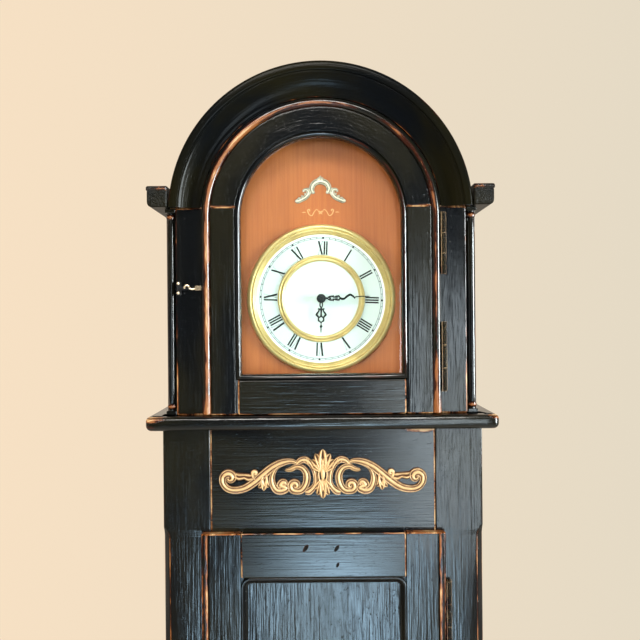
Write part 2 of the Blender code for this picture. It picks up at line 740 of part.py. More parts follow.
def build_ornament():
    """A small broken-scroll mount on the dial board: an arched band with a crest."""
    half, low, high = 0.0345, 1.771, 1.809
    right = [(0.010, low + 0.017), (half - 0.012, low), (half - 0.002, low + 0.002),
             (half, low + 0.009), (half - 0.008, low + 0.016), (0.013, high - 0.010),
             (0.006, high - 0.002)]
    loop = right + [(0.0, high)] + mirrored(right)
    finish(plate("dial_ornament", [loop], BOARD_FRONT - GAP - 0.002, BOARD_FRONT - GAP), GILT)


def hand_outline(length, width, hub, tail=0.0):
    """A tapering hand along +X from its hub, with a leaf-shaped swelling."""
    half = [(hub * 0.95, width * 0.30), (length * 0.35, width * 0.45), (length * 0.55, width),
            (length * 0.75, width * 0.40), (length * 0.97, width * 0.15)]
    return [(-tail, -0.001)] + [(x, -y) for x, y in half] + [(length, 0)] \
        + list(reversed(half)) + [(-tail, 0.001)]


def turn_points(points, angle):
    c, s = math.cos(angle), math.sin(angle)
    return [(x * c - y * s, x * s + y * c) for x, y in points]


def build_hands(hour_parent, minute_parent):
    hour = plate("hour_hand", [turn_points(hand_outline(HOUR_HAND_LENGTH, 0.0065, 0.006),
                                           HOUR_HAND_ANGLE)], -0.0754, -0.0742, CENTRE)
    ring = plate("hour_collet", [circle(0.0065, 24)], -0.0756, -0.0735, CENTRE)
    hole = cylinder("hour_hand_hole", 0.00395, (0, -0.08, DIAL_Z), 0.01)
    finish(cut(join(hour, ring), hole), BLACK_STEEL)
    hang(hour, hour_parent)
    minute = plate("minute_hand", [turn_points(hand_outline(MINUTE_HAND_LENGTH, 0.0045, 0.005),
                                               MINUTE_HAND_ANGLE)], -0.0792, -0.0782, CENTRE)
    dome = [(0, 0.0822), (0.0025, 0.0820), (0.0030, 0.0808), (0.0055, 0.0804), (0.0060, 0.0796),
            (0.0060, 0.0778), (0, 0.0778)]
    boss = turned("minute_boss", dome, (0, 0, DIAL_Z), "front", 24)
    finish(join(minute, boss), BLACK_STEEL)
    hang(minute, minute_parent)


# ---------------------------------------------------------------- movement

def involute(angle):
    return math.tan(angle) - angle


def gear_outline(teeth, module, first_tooth=0.0, root_steps=1):
    """Involute teeth with short addenda; the first tooth's middle is at the given angle."""
    pitch = teeth * module / 2
    base = pitch * math.cos(PRESSURE_ANGLE)
    root, tip = pitch - DEDENDUM * module, pitch + ADDENDUM * module
    half_at_pitch = math.pi / (2 * teeth) - TOOTH_RELIEF * 2 * math.pi / teeth

    def half_angle(radius):
        pressure = math.acos(min(1.0, base / radius))
        return half_at_pitch + involute(PRESSURE_ANGLE) - involute(pressure)

    radii = [root, tip] if root > base else [root, base, pitch, tip]
    points = []
    for tooth in range(teeth):
        middle = first_tooth + 2 * math.pi * tooth / teeth
        right = [(r, middle - half_angle(max(r, base))) for r in radii]
        left = [(r, middle + half_angle(max(r, base))) for r in reversed(radii)]
        points += [(r * math.cos(a), r * math.sin(a)) for r, a in right + left]
    return points


def windows(inner, outer, arm, count=4, turn=45.0):
    """The openings between a wheel's arms, which widen towards the hub."""
    taper = 1.3
    loops = []
    for i in range(count):
        middle = turn + 360 * i / count
        wide = 180 / count - math.degrees(math.asin(arm / 2 / outer))
        narrow = 180 / count - math.degrees(math.asin(taper * arm / 2 / inner))
        loops.append(arc(outer, middle - wide, middle + wide, 4)
                     + arc(inner, middle + narrow, middle - narrow, 1))
    return loops


def direction(start, end):
    return math.atan2(end[1] - start[1], end[0] - start[0])


def arbor(name, place, spans):
    """A turned arbor along Y from (y, radius) steps; each radius runs on to the next y."""
    profile = [(0, -spans[0][0])]
    for (start, radius), (end, _) in zip(spans, spans[1:]):
        profile += [(radius, -start), (radius, -end)]
    profile.append((0, -spans[-1][0]))
    obj = turned(name, profile, (place[0], 0, place[1]), "front", 10)
    obj.rotation_euler.y = 0.11     # keeps its corners off the straight edges of the wheels
    return obj


def pivoted(front_of, back_of, radius):
    """Arbor steps with a fine pivot in each plate."""
    reach = 0.0022
    return [(front_of - reach, PIVOT_RADIUS), (front_of + GAP, radius), (back_of - GAP, PIVOT_RADIUS),
            (back_of + reach, 0)]


def build_plates():
    """Two brass plates: the front one carries the motion-work stud, the back one the pillars."""
    front = plate("front_plate", [rectangle(PLATE_HALF, PLATE_BOTTOM, PLATE_TOP)], *FRONT_PLATE)
    back = plate("back_plate", [rectangle(PLATE_HALF, PLATE_BOTTOM, PLATE_TOP)], *BACK_PLATE)
    for i, (x, z) in enumerate(PILLARS):
        length = BACK_PLATE[0] - FRONT_PLATE[1] - GAP
        pillar = cylinder(f"pillar_{i}", 0.0045, (x, FRONT_PLATE[1] + GAP, DIAL_Z + z),
                          length + 0.001)
        join(back, pillar)
    join(front, cylinder("motion_stud", 0.0015, (MOTION[0], -0.0545, MOTION[1]), 0.0255, "Y", 12))
    for label, place, radius in (("great", GREAT, PIVOT_HOLE), ("centre", CENTRE, 0.0026),
                                 ("third", THIRD, PIVOT_HOLE), ("escape", ESCAPE, PIVOT_HOLE),
                                 ("pallet", PALLET, PIVOT_HOLE)):
        cut(front, cylinder(f"{label}_front_hole", radius, (place[0], -0.04, place[1]), 0.02,
                            "Y", 12))
    for label, place, radius in (("great", GREAT, PIVOT_HOLE), ("centre", CENTRE, PIVOT_HOLE),
                                 ("third", THIRD, PIVOT_HOLE), ("escape", ESCAPE, PIVOT_HOLE),
                                 ("pallet", PALLET, 0.0030)):
        cut(back, cylinder(f"{label}_back_hole", radius, (place[0], 0.02, place[1]), 0.02,
                           "Y", 12))
    finish(front, BRASS)
    finish(back, BRASS)


def build_back_cock():
    """The bridge behind the back plate: the pallet arbor's rear pivot and the pendulum's stud."""
    z = PALLET[1]
    low_y, high_y = BACK_PLATE[1] + GAP, 0.054
    obj = box("back_cock", (-0.022, low_y, z - 0.008), (0.022, high_y, z + 0.008))
    passage = box("cock_passage", (-0.014, low_y - 0.01, z - 0.02), (0.014, 0.050, z + 0.02))
    stud = cylinder("suspension_stud", 0.003, (0, 0.0535, z), 0.0125)
    pivot_hole = cylinder("cock_pivot_hole", PIVOT_HOLE, (0, 0.045, z), 0.0078, "Y", 12)
    finish(cut(join(cut(obj, passage), stud), pivot_hole), BRASS)


def build_great_wheel(parent):
    teeth = gear_outline(60, 0.00125, direction(GREAT, CENTRE))
    obj = plate("great_wheel", [teeth] + windows(0.010, 0.031, 0.006), 0.018, 0.021, GREAT)
    half = 0.0075
    rim, groove = 0.024, 0.01845
    sheave = turned("rope_sheave", [(0, -SHEAVE_Y + half), (rim, -SHEAVE_Y + half),
                                    (rim, -SHEAVE_Y + 0.0035), (groove, -SHEAVE_Y + 0.0025),
                                    (groove, -SHEAVE_Y - 0.0025), (rim, -SHEAVE_Y - 0.0035),
                                    (rim, -SHEAVE_Y - half), (0, -SHEAVE_Y - half)],
                    (GREAT[0], 0, GREAT[1]), "front", 24)
    shaft = arbor("great_arbor", GREAT, pivoted(FRONT_PLATE[1], BACK_PLATE[0], 0.0025))
    hang(finish(join(obj, shaft, sheave), BRASS), parent)


def build_centre_arbor(parent):
    """Centre wheel, its pinion and the long arbor that reaches out to the minute hand."""
    teeth = gear_outline(60, 0.001, direction(CENTRE, THIRD))
    wheel = plate("centre_wheel", [teeth] + windows(0.008, 0.0255, 0.004), -0.016, -0.0135, CENTRE)
    pinion_phase = direction(CENTRE, GREAT) + math.pi / 10
    pinion = plate("centre_pinion", [gear_outline(10, 0.00125, pinion_phase)], 0.014, 0.025, CENTRE)
    shaft = arbor("centre_arbor", CENTRE, [(-0.0774, 0.001), (-0.0265, 0.002),
                                           (BACK_PLATE[0] - GAP, PIVOT_RADIUS), (0.0322, 0)])
    hang(finish(join(wheel, shaft, pinion), BRASS), parent)

    cannon = plate("cannon_pinion", [gear_outline(12, 0.001, direction(CENTRE, MOTION)),
                                     circle(0.00135, 16)], -0.0405, -0.0335, CENTRE)
    section = [(0.0022, 0.0775), (0.0022, 0.0330), (0.00135, 0.0330), (0.00135, 0.0775)]
    pipe = turned("cannon_pipe", section, (0, 0, DIAL_Z), "front", 16, closed=True)
    hang(finish(join(cannon, pipe), BRASS), parent)


def build_third_wheel(parent):
    teeth = gear_outline(64, 0.0009, direction(THIRD, ESCAPE))
    obj = plate("third_wheel", [teeth] + windows(0.007, 0.0245, 0.004), 0.006, 0.008, THIRD)
    phase = direction(THIRD, CENTRE) + math.pi / 8
    pinion = plate("third_pinion", [gear_outline(8, 0.001, phase)], -0.020, -0.010, THIRD)
    shaft = arbor("third_arbor", THIRD, pivoted(FRONT_PLATE[1], BACK_PLATE[0], 0.0014))
    hang(finish(join(obj, shaft, pinion), BRASS), parent)


def escape_outline():
    """Thirty raked, pointed teeth."""
    points = []
    for tooth in range(ESCAPE_TEETH):
        start = 2 * math.pi * tooth / ESCAPE_TEETH
        pitch = 2 * math.pi / ESCAPE_TEETH
        for share, radius in ((0.0, 0.0152), (0.42, ESCAPE_RADIUS), (0.50, ESCAPE_RADIUS),
                              (0.55, 0.0152)):
            angle = start + share * pitch
            points.append((radius * math.cos(angle), radius * math.sin(angle)))
    return points


def build_escape_wheel(parent):
    obj = plate("escape_wheel", [escape_outline()] + windows(0.0055, 0.0132, 0.003), 0.020, 0.022,
                ESCAPE)
    phase = direction(ESCAPE, THIRD) + math.pi / 8
    pinion = plate("escape_pinion", [gear_outline(8, 0.0009, phase)], 0.002, 0.012, ESCAPE)
    shaft = arbor("escape_arbor", ESCAPE, pivoted(FRONT_PLATE[1], BACK_PLATE[0], 0.0012))
    hang(finish(join(obj, shaft, pinion), BRASS), parent)


def build_motion_work(minute_parent, hour_parent):
    """The 12 to 1 reduction behind the dial: minute wheel on its stud, hour wheel on its pipe."""
    bore = circle(0.0019, 16)
    phase = direction(MOTION, CENTRE) + math.pi / 36
    wheel = plate("minute_wheel", [gear_outline(36, 0.001, phase), bore], -0.0395, -0.0375, MOTION)
    pinion = plate("minute_pinion", [gear_outline(12, 0.0008, direction(MOTION, CENTRE)), bore],
                   -0.0525, -0.0390, MOTION)
    hang(finish(join(wheel, pinion), BRASS), minute_parent)

    phase = direction(CENTRE, MOTION) + math.pi / 48
    hour = plate("hour_wheel", [gear_outline(48, 0.0008, phase), circle(0.0026, 16)],
                 -0.0505, -0.0480, CENTRE)
    section = [(0.0036, 0.0745), (0.0036, 0.0475), (0.0026, 0.0475), (0.0026, 0.0745)]
    pipe = turned("hour_pipe", section, (0, 0, DIAL_Z), "front", 16, closed=True)
    hang(finish(join(hour, pipe), BRASS), hour_parent)


def build_anchor(parent):
    """Anchor pallets over the escape wheel, their arbor, and the crutch behind the back plate."""
    drop = PALLET[1] - ESCAPE[1]
    outer = ANCHOR_CLEAR + 0.0035
    band = arc(outer, 42, 138, 14, (0, -drop)) + arc(ANCHOR_CLEAR, 136, 44, 14, (0, -drop))
    obj = plate("pallet_anchor", [band], 0.020, 0.022, PALLET)
    hub = cylinder("anchor_hub", 0.0045, (PALLET[0], 0.0185, PALLET[1]), 0.005)
    shaft = arbor("anchor_arbor", PALLET, [(FRONT_PLATE[1] - 0.0022, PIVOT_RADIUS),
                                           (FRONT_PLATE[1] + GAP, 0.0014), (0.0497, PIVOT_RADIUS),
                                           (0.0520, 0)])
    x, z = PALLET
    arm = box("crutch_arm", (x - 0.0016, 0.038, z - 0.062), (x + 0.0016, 0.0402, z + 0.001))
    foot = box("crutch_foot", (x - 0.0075, 0.0375, z - 0.066), (x + 0.0075, 0.0405, z - 0.059))
    join(obj, hub, shaft, arm, foot)
    for side in (-1, 1):
        xs = sorted((x + side * 0.0033, x + side * 0.0065))
        join(obj, box(f"crutch_tine_{side:+d}", (xs[0], 0.040, z - 0.0645),
                      (xs[1], 0.0665, z - 0.0605)))
    hang(finish(obj, STEEL), parent)


# ---------------------------------------------------------------- pendulum, weight and rope

def build_pendulum(parent, bob_parent):
    z = PALLET[1]
    eye = plate("pendulum_rod", [circle(0.0065, 24), circle(0.0034, 16)], ROD_Y - 0.002,
                ROD_Y + 0.002, PALLET)
    rod = cylinder("rod_bar", ROD_RADIUS, (0, ROD_Y, ROD_BOTTOM), z - 0.0045 - ROD_BOTTOM, "Z", 12)
    hang(finish(join(eye, rod), STEEL), parent)

    rim = BOB_RADIUS
    lens = [(0, BOB_HALF_THICK)]
    lens += [(rim * math.sin(t), BOB_HALF_THICK * math.cos(t)) for t in
             (math.radians(a) for a in (30, 50, 68))]
    lens += [(rim, 0.0035)]
    section = lens + [(r, -h) for r, h in reversed(lens)]
    bob = turned("pendulum_bob", section, (0, ROD_Y, BOB_Z), "front", 32)
    slot = cylinder("bob_bore", ROD_RADIUS + 0.0004, (0, ROD_Y, BOB_Z - 0.1), 0.2, "Z", 12)
    hang(finish(cut(bob, slot), BRASS), bob_parent)


def build_rating_nut(parent):
    top = BOB_Z - BOB_RADIUS - 0.0006
    bore = ROD_RADIUS + 0.0004
    section = [(0.007, top), (0.008, top - 0.001), (0.008, top - 0.007), (0.007, top - 0.008),
               (bore, top - 0.008), (bore, top)]
    obj = turned("rating_nut", section, (0, ROD_Y, 0), steps=20, closed=True)
    hang(finish(obj, BRASS), parent)


def build_weight(parent):
    """A plain cylindrical weight with a neck and an eye for the rope."""
    r = WEIGHT_RADIUS
    top = WEIGHT_TOP - 0.022
    bottom = top - 0.180
    profile = [(0, top), (0.0035, top), (0.0055, top - 0.006), (r - 0.004, top - 0.012),
               (r, top - 0.018), (r, bottom + 0.003), (r - 0.003, bottom), (0, bottom)]
    obj = turned("weight_shell", profile, (ROPE_REACH, SHEAVE_Y, 0), steps=20)
    ring_radius, ring_wire = 0.008, 0.0015
    centre_z = WEIGHT_TOP - 0.0115
    loop = circle(ring_radius + ring_wire, 20), circle(ring_radius - ring_wire, 16)
    eye = plate("weight_eye", loop, SHEAVE_Y - ring_wire, SHEAVE_Y + ring_wire,
                (ROPE_REACH, centre_z - 0.0035))
    hang(finish(join(obj, eye), BRASS), parent)


def build_ropes():
    """The loaded run of rope, and the free run that comes over the sheave and hangs down."""
    top = GREAT[1] - 0.0006
    line = cylinder("weight_line", ROPE_RADIUS, (ROPE_REACH, SHEAVE_Y, WEIGHT_TOP + GAP),
                    top - WEIGHT_TOP - GAP, "Z", 10)
    finish(line, ROPE)
    over = [(x, SHEAVE_Y, z) for x, z in arc(ROPE_REACH, 0, 180, 18, GREAT)]
    tail = [(-ROPE_REACH, SHEAVE_Y, ROPE_TAIL)]
    finish(wire("free_line", over + tail, ROPE_RADIUS), ROPE)


# ---------------------------------------------------------------- assembly

def build_case():
    build_mouldings()
    build_base_box()
    build_trunk_frame()
    build_trunk_sides()
    build_backboard()
    build_seatboard()
    build_applique()
    build_dial_board()
    build_dial()
    build_ornament()
    build_plates()
    build_back_cock()
    build_ropes()


def build_hood():
    hood = axis_empty("hood_slide_axis", (0, FRAME_FRONT, HOOD_BASE))
    door = axis_empty("hood_door_axis", (HOOD_HINGE_X, HINGE_Y, ARCH_Z), hood)
    hook = axis_empty("hook_axis", HOOK_PIVOT, door)
    before = set(bpy.data.objects)
    build_hood_frame()
    build_arch_moulding()
    build_roof()
    build_hood_sides()
    build_cornices()
    build_columns()
    build_catch_plate()
    for label, (low, high) in zip(("upper", "lower"), HOOD_HINGES):
        build_hinge(f"hood_hinge_{label}", HOOD_HINGE_X, low, high, door)
    for obj in set(bpy.data.objects) - before:
        if obj.parent is None:
            hang(obj, hood)
    build_hood_door(door)
    build_hook_eye(door)
    build_hook(hook)


def build_trunk():
    door = axis_empty("trunk_door_axis", (TRUNK_HINGE_X, HINGE_Y, 0.9))
    latch = axis_empty("latch_axis", (LATCH[0], DOOR_FRONT, LATCH[1]), door)
    for label, (low, high) in zip(("upper", "lower"), TRUNK_HINGES):
        build_hinge(f"trunk_hinge_{label}", TRUNK_HINGE_X, low, high, door)
    build_trunk_door(door)
    build_latch(latch)


def build_movement():
    def arbor_axis(name, place):
        return axis_empty(name, (place[0], 0, place[1]))

    centre = arbor_axis("centre_axis", CENTRE)
    hour = arbor_axis("hour_axis", CENTRE)
    build_great_wheel(arbor_axis("great_axis", GREAT))
    build_centre_arbor(centre)
    build_third_wheel(arbor_axis("third_axis", THIRD))
    build_escape_wheel(arbor_axis("escape_axis", ESCAPE))
    build_motion_work(arbor_axis("motion_axis", MOTION), hour)
    build_hands(hour, centre)
    build_anchor(arbor_axis("pallet_axis", PALLET))
    pendulum = axis_empty("pendulum_axis", (PALLET[0], ROD_Y, PALLET[1]))
    bob = axis_empty("bob_axis", (0, ROD_Y, BOB_Z), pendulum)
    build_pendulum(pendulum, bob)
    build_rating_nut(axis_empty("rating_nut_axis", (0, ROD_Y, BOB_Z - BOB_RADIUS), bob))
    build_weight(axis_empty("weight_axis", (ROPE_REACH, SHEAVE_Y, WEIGHT_TOP)))


build_case()
build_hood()
build_trunk()
build_movement()
for piece in PARTS.objects:
    smooth(piece)
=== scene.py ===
"""Looks of an arched-hood longcase clock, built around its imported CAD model.

Units are metres, +Z is up and the clock faces -Y. Places and sizes come from the CAD nodes' boxes.
A section is a closed list of (u, v, wear): u across the piece, v towards its face. A station is
(place, distance, inset, end), where place(u, v) gives a point, distance is measured along the
piece, and inset and end say how far the end is rounded and rubbed there. Every piece built here
carries two vertex attributes: "wear", 0 on sound paint to 1 on a rubbed edge (on carving it is
the height above the hollows), and "grain", the distance along the piece and the place across it.
"""
import math

import bmesh
import bpy
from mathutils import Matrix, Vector


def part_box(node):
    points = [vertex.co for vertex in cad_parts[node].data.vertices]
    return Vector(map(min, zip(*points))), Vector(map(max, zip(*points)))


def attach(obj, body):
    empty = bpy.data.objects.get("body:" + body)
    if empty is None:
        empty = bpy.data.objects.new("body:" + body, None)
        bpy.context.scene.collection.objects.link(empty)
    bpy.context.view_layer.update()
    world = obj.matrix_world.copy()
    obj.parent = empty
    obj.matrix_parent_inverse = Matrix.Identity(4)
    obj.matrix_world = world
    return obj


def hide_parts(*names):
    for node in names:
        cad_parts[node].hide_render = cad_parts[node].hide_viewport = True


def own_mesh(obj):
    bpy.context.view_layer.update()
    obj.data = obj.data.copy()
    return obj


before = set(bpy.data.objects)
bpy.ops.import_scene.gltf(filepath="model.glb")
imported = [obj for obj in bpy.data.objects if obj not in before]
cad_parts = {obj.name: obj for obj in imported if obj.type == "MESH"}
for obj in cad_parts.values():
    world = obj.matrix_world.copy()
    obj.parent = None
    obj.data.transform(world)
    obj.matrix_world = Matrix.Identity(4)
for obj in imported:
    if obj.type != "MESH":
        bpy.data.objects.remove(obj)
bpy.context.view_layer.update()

# ---------------------------------------------------------------- measures taken from the frame

LO, HI = 0, 1


def edge(node, side, axis):
    """One face of a CAD node's box."""
    return getattr(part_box(node)[side], axis)


GAP = 0.0003  # between pieces that meet
GLASS_LAP = 0.005  # how far the glass runs behind its door
GLASS_HALF = edge("hood_glass", HI, "x")
ARCH_Z = edge("hood_glass", HI, "z") - GLASS_HALF
SHOULDER = edge("cornice_left", LO, "z") - GAP
HOOD_BASE = edge("waist_moulding", HI, "z")
HOOD_HALF = edge("hood_front_frame", HI, "x")
HOOD_OPENING = 0.140  # half the clear width of the hood's front frame
REBATE = edge("column_right", HI, "x") - edge("column_right", LO, "x") + GAP
CROWN = 0.0055  # how far the outer arches' centres climb
ARCH_RADIUS = edge("hood_front_frame", HI, "z") - ARCH_Z - CROWN
FRAME_FRONT = -edge("hood_front_frame", LO, "y")
FRAME_BACK = -edge("hood_front_frame", HI, "y")
DOOR_FRONT = -edge("hood_door_frame", LO, "y")
DOOR_BACK = -edge("hood_door_frame", HI, "y")
DOOR_HALF = edge("hood_door_frame", HI, "x")
DOOR_BOTTOM = edge("hood_door_frame", LO, "z")
DOOR_OPENING = GLASS_HALF - GLASS_LAP
DOOR_SILL = edge("hood_glass", LO, "z") + GLASS_LAP
TRUNK_HALF = edge("trunk_front_frame", HI, "x")
TRUNK_TOP = edge("trunk_front_frame", HI, "z")
TRUNK_BOTTOM = edge("trunk_front_frame", LO, "z")
TRUNK_OPENING = 0.150  # half the clear width of the trunk's front frame
TDOOR_LO, TDOOR_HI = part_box("trunk_door_frame")
PANEL_LO, PANEL_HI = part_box("trunk_door_panel")
PANEL_FRONT = -PANEL_LO.y

ROUND_STEPS = 4  # spans in a rounded corner
SUPPORT = 0.0013  # from a rounding to the points that hold the flat beside it
BEVEL = 0.0013  # rounding of a sawn end


# ---------------------------------------------------------------- node materials

class Nodes:
    """Builds a node tree. Inputs take numbers, colours or another node's output."""

    def __init__(self, tree):
        self.tree = tree

    def feed(self, socket, value):
        if isinstance(value, bpy.types.NodeSocket):
            self.tree.links.new(value, socket)
        elif isinstance(value, tuple) and len(value) == 3 and socket.type == "RGBA":
            socket.default_value = (*value, 1.0)
        else:
            socket.default_value = value

    def node(self, kind, inputs, output=0, **settings):
        made = self.tree.nodes.new("ShaderNode" + kind)
        for key, value in settings.items():
            setattr(made, key, value)
        for key, value in inputs.items():
            self.feed(made.inputs[key], value)
        return made.outputs[output]

    def split(self, vector):
        """The three parts of a vector."""
        return self.node("SeparateXYZ", {0: vector}).node.outputs

    def math(self, operation, a, b=0.0):
        return self.node("Math", {0: a, 1: b}, operation=operation)

    def add(self, a, b):
        return self.math("ADD", a, b)

    def times(self, a, b):
        return self.math("MULTIPLY", a, b)

    def minus(self, a, b):
        return self.math("SUBTRACT", a, b)

    def step(self, value, low, high, to_low=0.0, to_high=1.0, curve="SMOOTHSTEP"):
        values = {"Value": value, "From Min": low, "From Max": high, "To Min": to_low, "To Max": to_high}
        return self.node("MapRange", values, interpolation_type=curve)

    def mix(self, factor, a, b):
        return self.node("Mix", {0: factor, 6: a, 7: b}, 2, data_type="RGBA")


class Look(Nodes):
    """One node material."""

    def __init__(self, name):
        self.material = bpy.data.materials.new(name)
        self.material.use_nodes = True
        super().__init__(self.material.node_tree)

    def attribute(self, name, output="Vector"):
        return self.node("Attribute", {}, output, attribute_name=name)

    def place(self):
        return self.node("TexCoord", {}, "Object")

    def stretch(self, vector, scale):
        return self.node("VectorMath", {0: vector, 1: scale}, operation="MULTIPLY")

    def noise(self, vector, scale, detail=3.0, roughness=0.5):
        """Noise of one size, or of a size of its own along each axis."""
        if isinstance(scale, tuple):
            vector, scale = self.stretch(vector, scale), 1.0
        values = {"Vector": vector, "Scale": scale, "Detail": detail, "Roughness": roughness}
        return self.node("TexNoise", values, "Fac")

    def bump(self, height, distance):
        return self.node("Bump", {"Height": height, "Distance": distance, "Strength": 1.0})

    def upright_grain(self):
        """Object coordinates in grain order: height first, then across and depth."""
        x, y, z = self.split(self.place())
        return self.node("CombineXYZ", {0: z, 1: x, 2: y})

    def edge_wear(self, reach):
        """1 within reach of a sharp edge, 0 on flats."""
        rounded = self.node("Bevel", {"Radius": reach}, samples=4)
        true = self.node("NewGeometry", {}, "True Normal")
        agreement = self.node("VectorMath", {0: rounded, 1: true}, "Value", operation="DOT_PRODUCT")
        return self.step(agreement, 0.995, 0.90)

    def done(self, **values):
        """Feed the Principled shader; an underscore stands for a space."""
        for key, value in values.items():
            self.feed(self.tree.nodes["Principled BSDF"].inputs[key.replace("_", " ")], value)
        return self.material


PAINT_BLACK, PAINT_WARM = (0.0018, 0.0023, 0.0029), (0.0050, 0.0044, 0.0018)
UNDERCOAT, COPPER, CREAM = (0.022, 0.005, 0.0025), (0.165, 0.052, 0.010), (0.40, 0.25, 0.115)


def black_paint(name, from_object=False, streak=1.0, roughness=0.15, gloss=0.5, patchy=1.0, reach=0.0010):
    """Brushed black gloss, rubbed through a red-brown undercoat to orange and bare wood.
    A CAD node has no attributes, so its grain runs upright and its wear follows its own edges."""
    look = Look(name)
    grain = look.upright_grain() if from_object else look.attribute("grain")
    rubbed = look.edge_wear(reach) if from_object else look.attribute("wear", "Fac")
    brush = look.noise(grain, (13, 390, 390), 2.0, 0.5)
    ripple = look.noise(grain, (30, 120, 120), 2.0)
    blotch = look.noise(grain, (7, 16, 16), 3.0)
    chips = look.noise(grain, (60, 420, 420), 5.0, 0.62)
    patches = look.noise(grain, (22, 45, 45), 2.0)
    pits = look.step(look.noise(grain, (210, 420, 420), 1.0), 0.68, 0.76)
    uneven = look.add(look.times(chips, 1.7 * patchy), look.times(patches, 2.3 * patchy))
    level = look.times(rubbed, look.minus(uneven, 2.0 * patchy - 1.0))
    brown = look.step(level, 0.40, 0.48)
    orange = look.step(level, 0.52, 0.62)
    colour = look.mix(look.step(blotch, 0.35, 0.65), PAINT_BLACK, PAINT_WARM)
    for share, layer in ((brown, UNDERCOAT), (orange, COPPER), (look.step(level, 0.70, 0.84), CREAM)):
        colour = look.mix(share, colour, layer)
    height = look.add(brush, look.times(ripple, 0.8))
    height = look.minus(look.minus(height, look.times(pits, 0.40)), look.times(brown, 0.30))
    sheen = look.add(look.step(blotch, 0.3, 0.7, roughness, roughness + 0.06), look.times(orange, 0.18))
    return look.done(Base_Color=colour, Roughness=sheen, Normal=look.bump(height, 0.00040 * streak),
                     Specular_IOR_Level=gloss)


def bare_wood(name, pale, dark, from_object=False, roughness=0.55, bands=60.0):
    """Unpainted wood: long pores over soft growth bands."""
    look = Look(name)
    grain = look.upright_grain() if from_object else look.attribute("grain")
    growth = look.noise(grain, (bands / 30, bands, bands), 3.0, 0.55)
    pores = look.noise(grain, (14, 900, 900), 4.0, 0.6)
    blotch = look.noise(grain, (5, 11, 11), 2.0)
    colour = look.mix(look.step(growth, 0.38, 0.70, 0.0, 0.55), pale, dark)
    colour = look.mix(look.step(pores, 0.50, 0.72, 0.0, 0.50), colour, dark)
    colour = look.mix(look.step(blotch, 0.4, 0.75, 0.0, 0.35), colour, dark)
    rough = look.step(pores, 0.3, 0.7, roughness - 0.08, roughness + 0.1)
    return look.done(Base_Color=colour, Roughness=rough, Normal=look.bump(pores, 0.00016))


def metal(name, colour, tarnish, roughness=0.26, wear=0.5, bump=0.00003, lathe=None, metallic=1.0):
    """Polished metal with patches of tarnish; lathe is the (x, z) centre of its turning marks.
    A metallic below 1 lets a small piece keep its colour where it mirrors only the dark of the room."""
    look = Look(name)
    place = look.place()
    patches = look.noise(place, 45.0, 4.0, 0.6)
    if lathe:
        spoke = look.node("VectorMath", {0: place, 1: (lathe[0], 0.0, lathe[1])}, operation="SUBTRACT")
        spoke = look.stretch(spoke, (1.0, 0.0, 1.0))
        radius = look.node("VectorMath", {0: spoke}, "Value", operation="LENGTH")
        marks = look.noise(look.node("CombineXYZ", {0: radius}), 1500.0, 3.0, 0.7)
    else:
        marks = look.noise(place, 400.0, 3.0, 0.7)
    tint = look.mix(look.step(patches, 0.42, 0.72, 0.0, wear), colour, tarnish)
    tint = look.mix(look.step(marks, 0.45, 0.75, 0.0, 0.35), tint, tarnish)
    rough = look.add(look.step(patches, 0.35, 0.7, roughness, roughness + 0.12),
                     look.times(look.minus(marks, 0.5), 0.12))
    return look.done(Base_Color=tint, Metallic=metallic, Roughness=rough, Normal=look.bump(marks, bump))


def dark_iron(name, colour=(0.012, 0.012, 0.013), roughness=0.38):
    """Blackened steel, a little blotchy, with brighter rubbed spots."""
    look = Look(name)
    place = look.place()
    patches = look.noise(place, 120.0, 4.0, 0.6)
    tint = look.mix(look.step(patches, 0.55, 0.8, 0.0, 0.35), colour, (0.10, 0.095, 0.09))
    rough = look.step(patches, 0.3, 0.7, roughness - 0.1, roughness + 0.1)
    return look.done(Base_Color=tint, Metallic=0.55, Roughness=rough,
                     Normal=look.bump(look.noise(place, 900.0, 3.0), 0.00004))


def enamel(name, colour):
    """Fired dial enamel: faint orange peel and a very slight mottle."""
    look = Look(name)
    place = look.place()
    mottle = look.noise(place, 30.0, 4.0)
    tint = look.mix(look.step(mottle, 0.35, 0.7, 0.0, 0.5), colour, tuple(c * 0.95 for c in colour))
    return look.done(Base_Color=tint, Roughness=look.step(mottle, 0.3, 0.7, 0.16, 0.26), Coat_Weight=0.4,
                     Coat_Roughness=0.06, Normal=look.bump(look.noise(place, 400.0, 2.0), 0.00002))


def print_ink(name, colour):
    """Black dial printing with a slightly worn, uneven body."""
    look = Look(name)
    speckle = look.noise(look.place(), 1400.0, 3.0)
    tint = look.mix(look.step(speckle, 0.5, 0.8, 0.0, 0.5), colour, tuple(c + 0.02 for c in colour))
    rough = look.step(speckle, 0.3, 0.7, 0.4, 0.55)
    return look.done(Base_Color=tint, Roughness=rough, Specular_IOR_Level=0.3)


def gilt(name, bright, hollow_shade_and_flecks, metallic=0.35, recess=0.0012):
    """Gilded carving: pale leaf on the crests, darkening with depth to painted shade in the recesses, with
    fine dark flecks.
    """
    look = Look(name)
    place = look.place()
    crest = look.attribute("wear", "Fac")
    patches = look.noise(place, 160.0, 4.0, 0.6)
    fine = look.noise(place, 900.0, 3.0, 0.6)
    level = look.add(crest, look.times(look.minus(patches, 0.5), 0.45))
    # painted shade: the lower the carving, the nearer its colour comes to the dark of the hollows
    tint = look.mix(look.step(level, 0.42, 0.95), hollow_shade_and_flecks, bright)
    # fine dark flecks of the same dark colour, at random
    tint = look.mix(look.step(fine, 0.55, 0.8, 0.0, 0.30), tint, hollow_shade_and_flecks)
    return look.done(Base_Color=tint, Metallic=metallic, Roughness=look.step(patches, 0.3, 0.7, 0.34, 0.52),
                     Normal=look.bump(look.add(patches, look.times(fine, 0.4)), recess * 0.25))


